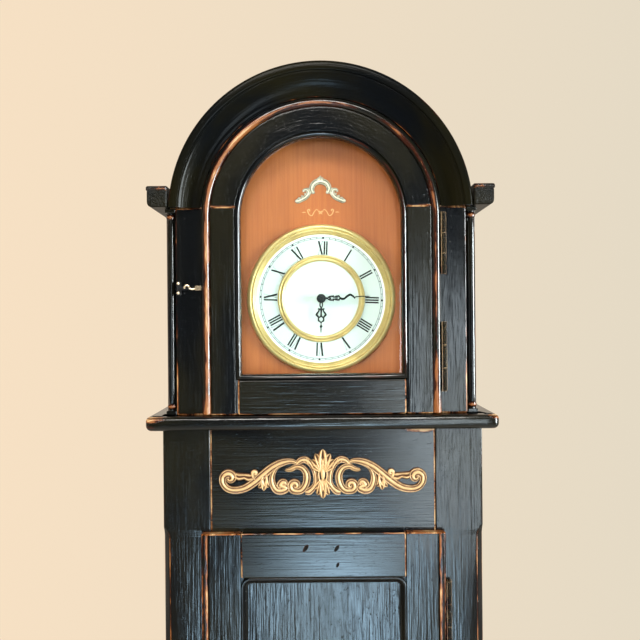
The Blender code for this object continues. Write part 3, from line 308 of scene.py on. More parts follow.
def rope_fibre(name, colour):
    """Twisted fibre strands: fine threads that run along each strand."""
    look = Look(name)
    grain = look.attribute("grain")
    fibre = look.noise(grain, (300, 2600, 2600), 3.0, 0.6)
    tint = look.mix(fibre, tuple(c * 0.55 for c in colour), colour)
    rough = look.step(fibre, 0.3, 0.7, 0.8, 0.95)
    return look.done(Base_Color=tint, Roughness=rough, Normal=look.bump(fibre, 0.0003))


def window_glass(name):
    """Thin clear glass: mirror-like at a glance, clear face on, with a trace of dust.
    Only the face toward the eye reflects, because light passes the pane without bending."""
    look = Look(name)
    dust = look.noise(look.place(), 60.0, 4.0, 0.6)
    rough = look.step(dust, 0.4, 0.8, 0.0, 0.05)
    clear = look.node("BsdfTransparent", {"Color": (0.895, 0.915, 0.905)})
    shine = look.node("BsdfGlossy", {"Color": (1.0, 1.0, 1.0), "Roughness": rough})
    outside = look.minus(1.0, look.node("NewGeometry", {}, "Backfacing"))
    share = look.times(look.node("Fresnel", {"IOR": 1.5}), outside)
    mixed = look.node("MixShader", {0: share, 1: clear, 2: shine})
    look.feed(look.tree.nodes["Material Output"].inputs["Surface"], mixed)
    return look.material


PAINT = black_paint("black_paint", streak=0.8)
PAINT_PANEL = black_paint("black_paint_panel", streak=0.95)
PAINT_ROUGH = black_paint("black_paint_end_grain", streak=3.2, roughness=0.36, gloss=0.16)
PAINT_SMOOTH = black_paint("black_paint_turned", streak=0.35, patchy=0.45)
PAINT_EVEN = black_paint("black_paint_bead", streak=0.60, patchy=0.60)
PAINT_DEEP = black_paint("black_paint_deep", streak=0.6, gloss=0.06)
PAINT_RAIL = black_paint("black_paint_rail", streak=0.32)
PAINT_DULL = black_paint("black_paint_filler", streak=2.0, roughness=0.55, gloss=0.12, patchy=0.3)


# ---------------------------------------------------------------- mesh building

def rounded_section(corners, steps=ROUND_STEPS, support=SUPPORT):
    """Closed section through corners (u, v, radius, wear), each rounded and held by flat support points."""
    points = []
    for i, (u, v, radius, wear) in enumerate(corners):
        here = Vector((u, v))
        before = Vector(corners[i - 1][:2]) - here
        after = Vector(corners[(i + 1) % len(corners)][:2]) - here
        back = min(radius, before.length * 0.48)
        ahead = min(radius, after.length * 0.48)
        start, end = here + before.normalized() * back, here + after.normalized() * ahead
        if before.length > 2 * (back + support):
            points.append((*(here + before.normalized() * (back + support)), 0.0))
        for k in range(steps + 1):
            t = k / steps
            p = start * (1 - t) ** 2 + here * 2 * t * (1 - t) + end * t * t
            points.append((*p, wear * (0.6 + 0.4 * math.sin(math.pi * t))))
        if after.length > 2 * (ahead + support):
            points.append((*(here + after.normalized() * (ahead + support)), 0.0))
    return points


def board_section(u0, u1, v0, v1, radius=0.0016, wear=(0.15, 0.15, 0.5, 0.5)):
    """A plank's section: two back corners, then two front corners."""
    spots = ((u0, v0), (u1, v0), (u1, v1), (u0, v1))
    return rounded_section([(u, v, radius, worn) for (u, v), worn in zip(spots, wear)])


def ring_of(section, station, end_wear, wear_at=None):
    """One closed ring of (point, wear, grain) where a section crosses a station."""
    place, distance, inset, end = station
    us, vs = [p[0] for p in section], [p[1] for p in section]
    mid_u, mid_v = (min(us) + max(us)) / 2, (min(vs) + max(vs)) / 2
    half_u, half_v = (max(us) - min(us)) / 2, (max(vs) - min(vs)) / 2
    gain = wear_at(distance) if wear_at else 1.0
    ring = []
    for u, v, wear in section:
        grain = (distance, u, v)
        u = mid_u + (u - mid_u) * (1 - inset / half_u)
        v = mid_v + (v - mid_v) * (1 - inset / half_v)
        ring.append((place(u, v), max(wear * gain, end * end_wear), grain))
    return ring


class Shape:
    """Gathers lofts into one mesh."""

    def __init__(self):
        self.points, self.faces = [], []

    def loft(self, rings, closed=False):
        """Join rings of (point, wear, grain); an open loft is capped at both ends."""
        first, count = len(self.points), len(rings[0])
        for ring in rings:
            self.points += ring
        for i in range(len(rings) if closed else len(rings) - 1):
            a, b = first + i * count, first + (i + 1) % len(rings) * count
            for k in range(count):
                n = (k + 1) % count
                self.faces.append((a + k, a + n, b + n, b + k))
        if not closed:
            last = first + (len(rings) - 1) * count
            self.faces += [tuple(range(first, first + count)), tuple(range(last, last + count))]
        return self

    def build(self, name, material, body, slot, stands_for=(), sharp=32.0, merge=0.0):
        mesh = bpy.data.meshes.new(name)
        mesh.from_pydata([p[0] for p in self.points], [], self.faces)
        wear = mesh.attributes.new("wear", "FLOAT", "POINT")
        wear.data.foreach_set("value", [p[1] for p in self.points])
        grain = mesh.attributes.new("grain", "FLOAT_VECTOR", "POINT")
        grain.data.foreach_set("vector", [c for p in self.points for c in p[2]])
        work = bmesh.new()
        work.from_mesh(mesh)
        if merge:
            bmesh.ops.remove_doubles(work, verts=work.verts, dist=merge)
            bmesh.ops.dissolve_degenerate(work, edges=work.edges, dist=merge)
        bmesh.ops.recalc_face_normals(work, faces=work.faces)
        work.to_mesh(mesh)
        work.free()
        mesh.materials.append(material)
        mesh.shade_smooth()
        mesh.set_sharp_from_angle(angle=math.radians(sharp))
        made = bpy.data.objects.new(name, mesh)
        bpy.context.scene.collection.objects.link(made)
        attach(made, body)
        if stands_for:
            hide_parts(*stands_for)
        return made


def end_stations(place_at, start, end, bevel=BEVEL, between=(), wear_reach=SUPPORT):
    """Stations from start to end with rounded ends; place_at(distance) gives the place function."""
    stops = [(start, bevel, 1.0), (start + bevel, 0.0, 1.0), (start + bevel + wear_reach, 0.0, 0.0)]
    stops += [(d, 0.0, 0.0) for d in between]
    stops += [(end - bevel - wear_reach, 0.0, 0.0), (end - bevel, 0.0, 1.0), (end, bevel, 1.0)]
    return [(place_at(d), d, inset, worn) for d, inset, worn in stops]


def sweep(name, section, stations, body, stands_for=(), material=PAINT, end_wear=0.6, wear_at=None,
          closed=False, merge=0.0):
    """A painted piece: a section, or one that depends on the distance, carried through the stations."""
    rings = []
    for station in stations:
        here = section(station[1]) if callable(section) else section
        rings.append(ring_of(here, station, end_wear, wear_at))
    return Shape().loft(rings, closed).build(name, material, body, "black_paint", stands_for, merge=merge)


def upright(side):
    """Place function for a stile: u is the distance from the middle, v is forward."""
    return lambda z: (lambda u, v: Vector((side * u, -v, z)))


def level(x):
    """Place function for a rail that runs along X: u is height, v is forward."""
    return lambda u, v: Vector((x, -v, u))


def fore_and_aft(side):
    """Place function for a board that runs back along Y: u is sideways, v is height."""
    return lambda y: (lambda u, v: Vector((side * u, y, v)))


def stiles(prefix, section, low, high, body, stands_for, between=(), **finish):
    """A left and a right stile, where the left one stands for their CAD node."""
    for ending, side in (("left", -1), ("right", 1)):
        stations = end_stations(upright(side), low, high, between=between)
        sweep(prefix + ending, section, stations, body, (stands_for,) if side < 0 else (), **finish)


def rail(name, low, high, back, front, half, body, wear, **finish):
    """A level board between two stiles."""
    stations = end_stations(level, -half, half)
    sweep(name, board_section(low, high, back, front, wear=wear), stations, body, **finish)


def over_arch(bottom, radius, steps, end_inset=BEVEL):
    """Stations up the left side, over the arch and down the right side; u is the distance from the axis."""
    rise, turn = ARCH_Z - bottom, math.pi * radius
    total, rungs = 2 * rise + turn, 8

    def beside(side, z):
        return lambda u, v: Vector((side * u, -v, z))

    def about(angle):
        return lambda u, v: Vector((u * math.cos(angle), -v, ARCH_Z + u * math.sin(angle)))

    def flat(place, distance):
        return place, distance, 0.0, 0.0

    climbs = [rise * k / rungs for k in range(rungs + 1)]
    stops = [(beside(-1, bottom), 0.0, end_inset, 1.0), (beside(-1, bottom + BEVEL), BEVEL, 0.0, 1.0)]
    stops += [flat(beside(-1, bottom + climb), climb) for climb in climbs[1:]]
    stops += [flat(about(math.pi * (1 - k / steps)), rise + turn * k / steps) for k in range(1, steps)]
    stops += [flat(beside(1, ARCH_Z - climb), rise + turn + climb) for climb in climbs[:-1]]
    stops += [(beside(1, bottom + BEVEL), total - BEVEL, 0.0, 1.0)]
    stops += [(beside(1, bottom), total, end_inset, 1.0)]
    return stops


def arch_above_shoulder(mean_radius, steps=40):
    """Stations over the arch between two level cuts at the shoulder joint.
    Outside the door the arches' centres climb, so that the band is thickest at the crown."""
    length = math.pi * mean_radius

    def at(t):
        def place(u, v):
            share = (u - DOOR_HALF) / (ARCH_RADIUS - DOOR_HALF)
            centre = ARCH_Z + CROWN * min(1.0, max(0.0, share))
            low = math.asin((SHOULDER + GAP - centre) / u)
            angle = math.pi - low - (math.pi - 2 * low) * t
            return Vector((u * math.cos(angle), -v, centre + u * math.sin(angle)))
        return place

    bevel, reach = BEVEL / length, SUPPORT / length
    stops = [(0.0, 0.0, 1.0), (bevel, 0.0, 0.7), (bevel + reach, 0.0, 0.0)]
    stops += [(k / steps, 0.0, 0.0) for k in range(1, steps)]
    stops += [(1 - bevel - reach, 0.0, 0.0), (1 - bevel, 0.0, 0.7), (1.0, 0.0, 1.0)]
    return [(at(t), t * length, inset, worn) for t, inset, worn in stops]


def three_sides(half, front, back, corner, steps=5):
    """Stations from the back along the left side, across the front and back along the right side.
    u is outward from the outer face, v is the height; the outside of each corner is rounded."""
    def run(x, y, out_x, out_y):
        return lambda u, v: Vector((x + out_x * u, y + out_y * u, v))

    def turn(centre, direction, diagonal):
        def place(u, v):
            way = direction if u > -corner else diagonal
            return Vector((centre.x + way.x * (corner + u), centre.y + way.y * (corner + u), v))
        return place

    side_run, front_run, bend = back + front - corner, 2 * (half - corner), math.pi / 2 * corner
    total = 2 * (side_run + bend) + front_run
    near = (0.010, 0.025, 0.045, 0.070)     # stations beside each corner, where its wear fades
    stops = [(run(-half, back, -1, 0), 0.0)]
    stops += [(run(-half, corner - front + d, -1, 0), side_run - d) for d in reversed(near)]
    for side, first, start in ((-1, 180, side_run), (1, 270, side_run + bend + front_run)):
        centre = Vector((side * (half - corner), corner - front))
        for k in range(steps + 1):
            angle = math.radians(first + 90 * k / steps)
            direction = Vector((math.cos(angle), math.sin(angle)))
            stops.append((turn(centre, direction, Vector((side, -1))), start + bend * k / steps))
        if side < 0:
            stops += [(run(corner - half + d, -front, 0, -1), side_run + bend + d)
                      for d in list(near) + [front_run - d for d in reversed(near)]]
    stops += [(run(half, corner - front + d, 1, 0), total - side_run + d) for d in near]
    stops.append((run(half, back, 1, 0), total))
    return [(place, distance, 0.0, 0.0) for place, distance in stops]


def rectangle_path(half, bottom, top, corner, steps=4):
    """Closed stations round an upright rectangle with round corners; u is outward and v is forward."""
    stops, distance = [], 0.0
    centres = ((half - corner, bottom + corner, 270), (half - corner, top - corner, 0),
               (-half + corner, top - corner, 90), (-half + corner, bottom + corner, 180))
    for x, z, first in centres:
        for k in range(steps + 1):
            angle = math.radians(first + 90 * k / steps)

            def place(u, v, x=x, z=z, way=Vector((math.cos(angle), math.sin(angle)))):
                return Vector((x + way.x * (corner + u), -v, z + way.y * (corner + u)))
            stops.append((place, distance, 0.0, 0.0))
            distance += 0.0015
        distance += 2 * half if first in (0, 180) else top - bottom
    return stops


def turned(name, profile, centre, axis, material, body, slot, stands_for=(), steps=96):
    """A piece turned on a lathe: profile is a closed list of (radius, height), axis is y or z."""
    rings = []
    for k in range(steps):
        angle = 2 * math.pi * k / steps
        ring = []
        for radius, height in profile:
            across, up = radius * math.cos(angle), radius * math.sin(angle)
            offset = Vector((across, -height, up)) if axis == "y" else Vector((across, up, height))
            ring.append((Vector(centre) + offset, 0.0, (angle * 0.05, radius, height)))
        rings.append(ring)
    return Shape().loft(rings, closed=True).build(name, material, body, slot, stands_for, merge=1e-6)


def use(node, material):
    """Give a carried-over CAD node its finish."""
    node.data.materials.clear()
    node.data.materials.append(material)


# ---------------------------------------------------------------- trunk and base

def build_trunk_frame():
    chamfer, square = 0.008, 0.0012
    low, high, fade = 0.470, 1.338, 0.014       # the stop chamfer's ends and their run-out
    inner = TRUNK_OPENING + GAP

    def stile_section(z):
        inside = min(1.0, max(0.0, min(z - low, high - z) / fade))
        cut = square + (chamfer - square) * math.sin(inside * math.pi / 2)
        worn = 0.42 + 0.22 * inside
        return rounded_section([
            (inner, FRAME_BACK, 0.001, 0.1), (TRUNK_HALF, FRAME_BACK, 0.001, 0.1),
            (TRUNK_HALF, FRAME_FRONT - cut, 0.0009, worn), (TRUNK_HALF - cut, FRAME_FRONT, 0.0009, worn),
            (inner, FRAME_FRONT, 0.0012, 0.40)])

    fades = [low + fade * k / 6 for k in range(7)]
    fades += [high - fade * (6 - k) / 6 for k in range(7)]
    stiles("trunk_stile_", stile_section, TRUNK_BOTTOM, TRUNK_TOP, "case", "trunk_front_frame", fades,
           material=PAINT_EVEN)

    chipped, chip_run = 0.132, 0.018
    marks = [chipped + chip_run * k / 3 for k in range(-5, 3)]

    def chips(x):
        """Bare chips in one place under the waist moulding."""
        return 1.0 + 3.4 * math.exp(-((x - chipped) / chip_run) ** 2)

    face = FRAME_FRONT - 0.0004
    for name, bottom, top, between in (("trunk_rail_top", TDOOR_HI.z - 0.0115, TRUNK_TOP, marks),
                                       ("trunk_rail_bottom", TRUNK_BOTTOM, 0.482, ())):
        section = rounded_section([
            (bottom, FRAME_BACK, 0.0016, 0.1), (top, FRAME_BACK, 0.0016, 0.1), (top, face, 0.0016, 0.55),
            (bottom, face, 0.0016, 0.4)], support=0.0085)
        stations = end_stations(level, -TRUNK_OPENING, TRUNK_OPENING, between=between)
        sweep(name, section, stations, "case", material=PAINT_RAIL, end_wear=0.78, wear_at=chips)


def build_sides():
    """The plain boards of the trunk and hood sides, grain upright."""
    for node, body in (("trunk_side_left", "case"), ("trunk_side_right", "case"),
                       ("hood_side_left", "hood"), ("hood_side_right", "hood")):
        lo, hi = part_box(node)
        section = board_section(lo.x, hi.x, -hi.y, -lo.y, wear=(0.3, 0.3, 0.2, 0.2))
        sweep(node + "_board", section, end_stations(upright(1), lo.z, hi.z), body, (node,))


def build_waist():
    lo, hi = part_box("waist_moulding")
    nose, depth = 0.0085, 0.046
    section = rounded_section([
        (-depth, lo.z, 0.001, 0.0), (-0.0045, lo.z, 0.0025, 0.3), (0.0, lo.z + 0.004, 0.004, 0.2),
        (0.0, hi.z - 0.0035, 0.0035, 0.35), (-0.0035, hi.z, 0.003, 0.45), (-depth, hi.z, 0.001, 0.0)],
        steps=5)

    def worn(distance):
        """Rubbed most where the two front corners stand out."""
        side_run = hi.y - lo.y
        near = min(abs(distance - side_run), abs(distance - side_run - 2 * hi.x))
        return 0.75 + 1.3 * math.exp(-(near / 0.022) ** 2)

    sweep("waist_moulding_nosing", section, three_sides(hi.x, -lo.y, hi.y, nose), "case",
          ("waist_moulding",), wear_at=worn, merge=1e-6)


def build_base():
    lo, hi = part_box("base_box")
    front, thick = -lo.y, 0.020
    half, low, high, depth, lip = 0.165, 0.150, 0.345, 0.006, 0.006     # the recess in the base's front
    stile = board_section(half + lip, hi.x, front - thick, front, wear=(0.1, 0.1, 0.7, 0.45))
    stiles("base_stile_", stile, lo.z, hi.z, "case", "base_box")
    side = board_section(TRUNK_HALF + GAP, hi.x, -hi.y, front - thick - GAP, wear=(0.4, 0.4, 0.2, 0.2))
    for name, sign in (("base_side_left", -1), ("base_side_right", 1)):
        sweep(name, side, end_stations(upright(sign), lo.z, hi.z), "case")
    for name, bottom, top in (("base_rail_bottom", lo.z, low - lip), ("base_rail_top", high + lip, hi.z)):
        rail(name, bottom, top, front - thick, front - 0.0004, half + lip - GAP, "case", (0.1, 0.1, 0.4, 0.4))
    run_under = 0.005
    panel = board_section(-half - run_under, half + run_under, front - thick + 0.002, front - depth - 0.002,
                          wear=(0, 0, 0, 0))
    sweep("base_panel", panel, end_stations(upright(1), low - run_under, high + run_under), "case")
    ovolo = rounded_section([
        (0.0, front - 0.014, 0.001, 0.1), (0.0064, front - 0.014, 0.0005, 0.0),
        (0.0064, front + 0.0005, 0.0015, 0.5), (0.003, front - 0.0005, 0.002, 0.5),
        (0.0, front - 0.005, 0.002, 0.1)])
    sweep("base_panel_moulding", ovolo, rectangle_path(half, low, high, 0.004), "case", closed=True)


def build_base_mouldings():
    """The moulded cap over the base, and the plinth under it."""
    lo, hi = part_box("base_moulding")
    section = rounded_section([
        (-0.050, lo.z, 0.001, 0), (-0.006, lo.z, 0.001, 0.3), (0.0, lo.z + 0.001, 0.002, 0.5),
        (0.0, lo.z + 0.0065, 0.003, 0.6), (-0.006, lo.z + 0.0075, 0.001, 0.2),
        (-0.0125, lo.z + 0.010, 0.003, 0.0), (-0.0165, hi.z, 0.002, 0.5), (-0.050, hi.z, 0.001, 0)])
    sweep("base_cap_moulding", section, three_sides(hi.x, -lo.y, hi.y, 0.003), "case", ("base_moulding",),
          merge=1e-6)
    lo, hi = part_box("plinth_skirting")
    section = rounded_section([
        (-0.010, 0.0, 0.001, 0.3), (0.0, 0.0, 0.0015, 0.6), (0.0, hi.z - 0.018, 0.002, 0.55),
        (-0.0035, hi.z - 0.014, 0.001, 0.2), (-0.0035, hi.z - 0.008, 0.003, 0.35),
        (-0.006, hi.z, 0.0015, 0.5), (-0.010, hi.z, 0.001, 0.1)])
    sweep("plinth_board", section, three_sides(hi.x, -lo.y, hi.y, 0.004), "case", ("plinth_skirting",),
          merge=1e-6)


# ---------------------------------------------------------------- hood

def build_hood_frame():
    inner, face, back = HOOD_OPENING, FRAME_FRONT, FRAME_BACK
    step_u, step_v = HOOD_HALF - REBATE, FRAME_FRONT - REBATE
    section = rounded_section([
        (inner, back, 0.001, 0.1), (HOOD_HALF, back, 0.001, 0.1), (HOOD_HALF, step_v - GAP, 0.0008, 0.1),
        (step_u - GAP, step_v - GAP, 0.0008, 0.0), (step_u - GAP, face, 0.0020, 0.55),
        (inner, face, 0.0014, 0.1)])
    stiles("hood_stile_", section, HOOD_BASE + GAP, SHOULDER, "hood", "hood_front_frame", end_wear=0.62)
    rail("hood_rail", HOOD_BASE + GAP, HOOD_BASE + 0.020, back, face - 0.0004, inner - GAP, "hood",
         (0.1, 0.1, 0.2, 0.2))
    arch = board_section(inner, ARCH_RADIUS - 0.0004, back, face - 0.0003, wear=(0, 0, 0.2, 0.1))
    sweep("hood_arch_board", arch, arch_above_shoulder(0.17), "hood", end_wear=0.85)


def build_arch_moulding():
    """A hollow slope that rises to a fillet and a round outer bead."""
    low, high = FRAME_FRONT + GAP, -edge("arch_moulding", LO, "y")
    inner, outer, fillet = 0.161, edge("arch_moulding", HI, "x"), 0.1885
    corners = [(outer, low, 0.0008, 0.1), (outer, high - 0.001, 0.0042, 0.34),
               (fillet + 0.0022, high, 0.0040, 0.22), (fillet + 0.0018, high - 0.0032, 0.0006, 0.0),
               (fillet, high - 0.0030, 0.0007, 0.22)]
    steps, crest, hollow_top = 7, fillet - 0.0015, high - 0.0045
    for k in range(steps + 1):
        t = k / steps
        corners.append((crest + (inner + 0.004 - crest) * t,
                        hollow_top - (hollow_top - low - 0.0035) * math.sin(t * math.pi / 2), 0.0012, 0.0))
    corners += [(inner + 0.0025, low + 0.0030, 0.0008, 0.30), (inner, low + 0.0030, 0.0010, 0.45),
                (inner, low, 0.0008, 0.0)]
    sweep("hood_arch_moulding", rounded_section(corners), arch_above_shoulder(0.18, 72), "hood",
          ("arch_moulding",), PAINT_DEEP, 0.3)


def build_roof():
    lo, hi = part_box("hood_roof")
    thick = 0.008
    section = board_section(hi.x - thick, hi.x, -hi.y, -lo.y, 0.001, (0.2, 0.3, 0.2, 0.1))
    sweep("hood_roof_shell", section, arch_above_shoulder(hi.x, 64), "hood", ("hood_roof",))


def build_ears():
    """Each side's cornice, which shows its rough sawn end beside the arch."""
    for name, side in (("cornice_left", -1), ("cornice_right", 1)):
        lo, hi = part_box(name)
        inner, outer = sorted((abs(lo.x), abs(hi.x)))
        bottom, top = lo.z, hi.z
        lip = top - 0.0062
        section = rounded_section([
            (inner + 0.004, bottom, 0.001, 0.1), (outer - 0.0012, bottom, 0.0075, 0.18),
            (outer - 0.0012, lip - 0.0012, 0.0008, 0.15), (outer - 0.0020, lip, 0.0005, 0.45),
            (outer, lip + 0.0006, 0.001, 0.40), (outer, top, 0.0030, 0.25),
            (inner + 0.0034, top, 0.001, 0.1)])
        stations = end_stations(fore_and_aft(side), lo.y, hi.y, bevel=0.0016)
        sweep(name + "_ear", section, stations, "hood", (name,), PAINT_ROUGH, 0.12)
        section = rounded_section([
            (inner + 0.0040, lip, 0.0006, 0.62), (outer - 0.0002, lip, 0.002, 0.55),
            (outer - 0.0002, top, 0.003, 0.25), (inner + 0.0040, top, 0.001, 0.2)])
        stations = end_stations(fore_and_aft(side), lo.y - 0.0014, lo.y + 0.010, bevel=0.0022)
        sweep(name + "_lip", section, stations, "hood", end_wear=0.40)


def build_columns():
    """Slender turned columns with a block, a ring and a swelling at each end."""
    r, steps, block = 0.0052, 24, 0.0055
    foot = [(r * 0.80, block, 0.1), (r * 0.80, block + 0.0016, 0.1), (r * 1.05, block + 0.003, 0.36),
            (r * 1.16, block + 0.0055, 0.46), (r * 1.05, block + 0.008, 0.36),
            (r * 0.74, block + 0.0096, 0.2), (r * 0.80, block + 0.012, 0.1), (r * 0.94, block + 0.019, 0.12),
            (r, block + 0.030, 0.22)]
    for name, side in (("column_left", -1), ("column_right", 1)):
        lo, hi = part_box(name)
        x, y, half, height = (lo.x + hi.x) / 2, (lo.y + hi.y) / 2, (hi.x - lo.x) / 2, hi.z - lo.z
        shaft = [(r, 0.05 + (height - 0.10) * k / 8, 0.20) for k in range(9)]
        head = [(radius, height - z, worn) for radius, z, worn in reversed(foot)]
        rings = []
        for radius, z, worn in foot + shaft + head:
            ring = []
            for k in range(steps):
                angle = 2 * math.pi * k / steps
                spot = Vector((x + radius * math.cos(angle), y + radius * math.sin(angle), lo.z + z))
                facing = 0.5 - 0.5 * math.sin(angle)
                seam = math.exp(-((side * math.cos(angle) - 0.82) / 0.16) ** 2) if facing > 0.5 else 0.0
                ring.append((spot, max(worn * (0.5 + 0.9 * facing), 0.56 * seam), (z, angle * r, 0.0)))
            rings.append(ring)
        shape = Shape().loft(rings)
        cap = board_section(-half, half, -half, half, 0.0012, (0.2, 0.3, 0.3, 0.2))
        for z0, z1 in ((0.0, block), (height - block, height)):
            stations = end_stations(lambda z: (lambda u, v: Vector((x + u, y - v, lo.z + z))), z0, z1, 0.0007,
                                    wear_reach=0.0006)
            shape.loft([ring_of(cap, station, 0.35) for station in stations])
        shape.build(name + "_turned", PAINT_SMOOTH, "hood", "black_paint", (name,))


# ---------------------------------------------------------------- doors

def half_round(centre, half, low, high, wear, steps=10):
    """Bead section: a half-elliptical back on a square foot."""
    points = [(centre - half, low, 0.0), (centre + half, low, 0.0)]
    base = low + (high - low) * 0.35
    for k in range(steps + 1):
        t = math.pi * k / steps
        points.append((centre + half * math.cos(t), base + (high - base) * math.sin(t), wear(k / steps)))
    return points


def ramp(share, start, run):
    """0 up to start, then rising to 1 over run."""
    return max(0.0, min(1.0, (share - start) / run))


def build_hood_door():
    bead, groove = 0.0115, 0.0012
    stile_in, stile_out, joint = DOOR_OPENING + 0.0085, DOOR_HALF - bead - groove, DOOR_OPENING + 0.0052
    face, outside = DOOR_FRONT - 0.0016, DOOR_HALF - 0.0004
    flat = rounded_section([
        (joint, DOOR_BACK, 0.0008, 0.1), (outside, DOOR_BACK, 0.0008, 0.1),
        (outside, face - 0.003, 0.0006, 0.1), (stile_out, face - 0.003, 0.0005, 0.1),
        (stile_out, face, 0.0009, 0.30), (stile_in, face, 0.0006, 0.12),
        (stile_in, face - 0.003, 0.0005, 0.0), (joint, face - 0.003, 0.0006, 0.0)])
    stiles("door_stile_", flat, DOOR_BOTTOM, SHOULDER, "hood_door", "hood_door_frame", end_wear=0.62)
    sweep("door_arch_head", flat, arch_above_shoulder(0.132, 56), "hood_door", end_wear=0.62)
    rail("door_rail", DOOR_BOTTOM, DOOR_SILL - 0.0085, DOOR_BACK, face - 0.0002, joint - GAP, "hood_door",
         (0.1, 0.1, 0.2, 0.72), end_wear=0.66)

    def outer_wear(distance):
        """Almost bare up the left side and over its haunch, patchier over the top and down the right."""
        share = distance / (2 * (ARCH_Z - DOOR_BOTTOM) + math.pi * DOOR_HALF)
        return 1.0 - 0.22 * ramp(share, 0.36, 0.2)

    def crest_wear(t):
        return 0.38 + 0.33 * math.exp(-((t - 0.56) / 0.15) ** 2) + 0.16 * math.exp(-((t - 0.84) / 0.10) ** 2)

    crest = half_round(DOOR_HALF - bead / 2, bead / 2, DOOR_BACK + 0.006, DOOR_FRONT, crest_wear, steps=16)
    sweep("door_outer_bead", crest, over_arch(DOOR_BOTTOM, DOOR_HALF, 64), "hood_door", (), PAINT_SMOOTH,
          0.60, outer_wear)

    def inner_wear(distance):
        share = distance / (2 * (ARCH_Z - DOOR_SILL) + math.pi * DOOR_OPENING)
        return 0.55 + 0.33 * ramp(share, 0.45, 0.1)

    def sill(run):
        """Place function along the sill, where run goes from the right corner to the left one."""
        return lambda u, v: Vector((DOOR_OPENING - run, -v, DOOR_SILL - (u - DOOR_OPENING)))

    def mitre(side):
        return lambda u, v: Vector((side * u, -v, DOOR_SILL - (u - DOOR_OPENING)))

    glazing = half_round(DOOR_OPENING + 0.0043, 0.0043, DOOR_FRONT - 0.0125, DOOR_FRONT - 0.0002,
                         lambda t: 0.52 * math.sin(math.pi * t) ** 2)
    over = over_arch(DOOR_SILL, DOOR_OPENING, 64, 0.0)[1:-1]
    last, span = over[-1][1], DOOR_OPENING * 2
    stations = [(mitre(-1), 0.0, 0.0, 0.0)] + over[1:-1] + [(mitre(1), last + 0.001, 0.0, 0.0)]
    stations += [(sill(span * k / 6), last + span * k / 6, 0.0, 0.0) for k in range(1, 6)]
    sweep("door_glazing_bead", glazing, stations, "hood_door", (), PAINT_SMOOTH, wear_at=inner_wear,
          closed=True)
    use(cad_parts["hood_glass"], window_glass("door_glass"))


def build_trunk_door():
    half, bottom, top = TDOOR_HI.x, TDOOR_LO.z, TDOOR_HI.z
    bead, face, lap, lip = 0.0085, DOOR_FRONT - 0.0006, 0.008, 0.0052
    open_half, open_low, open_high = PANEL_HI.x - lap, PANEL_LO.z + lap, PANEL_HI.z - lap
    joint = open_half + lip
    stile = rounded_section([
        (joint, DOOR_BACK, 0.0008, 0.1), (half, DOOR_BACK, 0.0008, 0.1),
        (half, DOOR_FRONT - 0.0010, 0.0042, 0.55), (half - bead, DOOR_FRONT, 0.0036, 0.68),
        (half - bead - 0.0006, face - 0.0020, 0.0005, 0.15),
        (half - bead - 0.0018, face, 0.0007, 0.25), (joint, face, 0.0010, 0.30)])
    stiles("trunk_door_stile_", stile, bottom, top, "trunk_door", "trunk_door_frame", material=PAINT_EVEN,
           end_wear=0.66)
    for name, low, high in (("trunk_door_rail_top", open_high + lip, top),
                            ("trunk_door_rail_bottom", bottom, open_low - lip)):
        rail(name, low, high, DOOR_BACK, face - 0.0003, joint - GAP, "trunk_door", (0.1, 0.1, 0.64, 0.15),
             material=PAINT_RAIL, end_wear=0.62)
    ovolo = rounded_section([
        (-0.0035, PANEL_FRONT - 0.002, 0.0005, 0.0), (lip, PANEL_FRONT - 0.002, 0.0005, 0.0),
        (lip, face + 0.0001, 0.0012, 0.25), (0.0022, face - 0.0001, 0.0022, 0.30),
        (-0.0004, PANEL_FRONT + 0.0046, 0.0022, 0.05), (-0.0035, PANEL_FRONT + 0.0016, 0.0008, 0.25)])
    sweep("trunk_panel_moulding", ovolo, rectangle_path(open_half, open_low, open_high, 0.008, 6),
          "trunk_door", closed=True)
    panel = board_section(-PANEL_HI.x, PANEL_HI.x, -PANEL_HI.y, PANEL_FRONT, wear=(0, 0, 0, 0))
    sweep("trunk_panel_board", panel, end_stations(upright(1), PANEL_LO.z, PANEL_HI.z), "trunk_door",
          ("trunk_door_panel",), PAINT_PANEL)


def build_dents():
    """Three filled nail holes in the top rail of the trunk door, each a shallow oval bowl with a lip."""
    face, steps = DOOR_FRONT - 0.0009, 16
    bowl = ((1.5, -0.0001, 0.1), (1.2, 0.00045, 0.55), (0.95, 0.00030, 0.0), (0.6, 0.00012, 0.0),
            (0.1, 0.00008, 0.0))        # share of the half height, height above the face, wear
    shape = Shape()
    for x, z, half, slant in ((-0.0235, 1.3120, 0.0034, 0.5), (0.0175, 1.3115, 0.0030, 0.5),
                              (0.0185, 1.2895, 0.0022, 0.3)):
        rings = []
        for reach, proud, worn in bowl:
            ring = []
            for k in range(steps):
                angle = 2 * math.pi * k / steps
                up, across = half * reach * math.sin(angle), half * 0.62 * reach * math.cos(angle)
                spot = Vector((x + across + slant * up, -face - proud, z + up))
                ring.append((spot, worn, (z + up, x + across, 0.0)))
            rings.append(ring)
        shape.loft(rings)
    shape.build("nail_holes", PAINT_DULL, "trunk_door", "black_paint", sharp=80.0)


# ---------------------------------------------------------------- carved and cut shapes

def mirrored(half):
    """A whole band section from its left half: (share of the half width, share of the height)."""
    return half + tuple((-a, h) for a, h in reversed(half) if a)


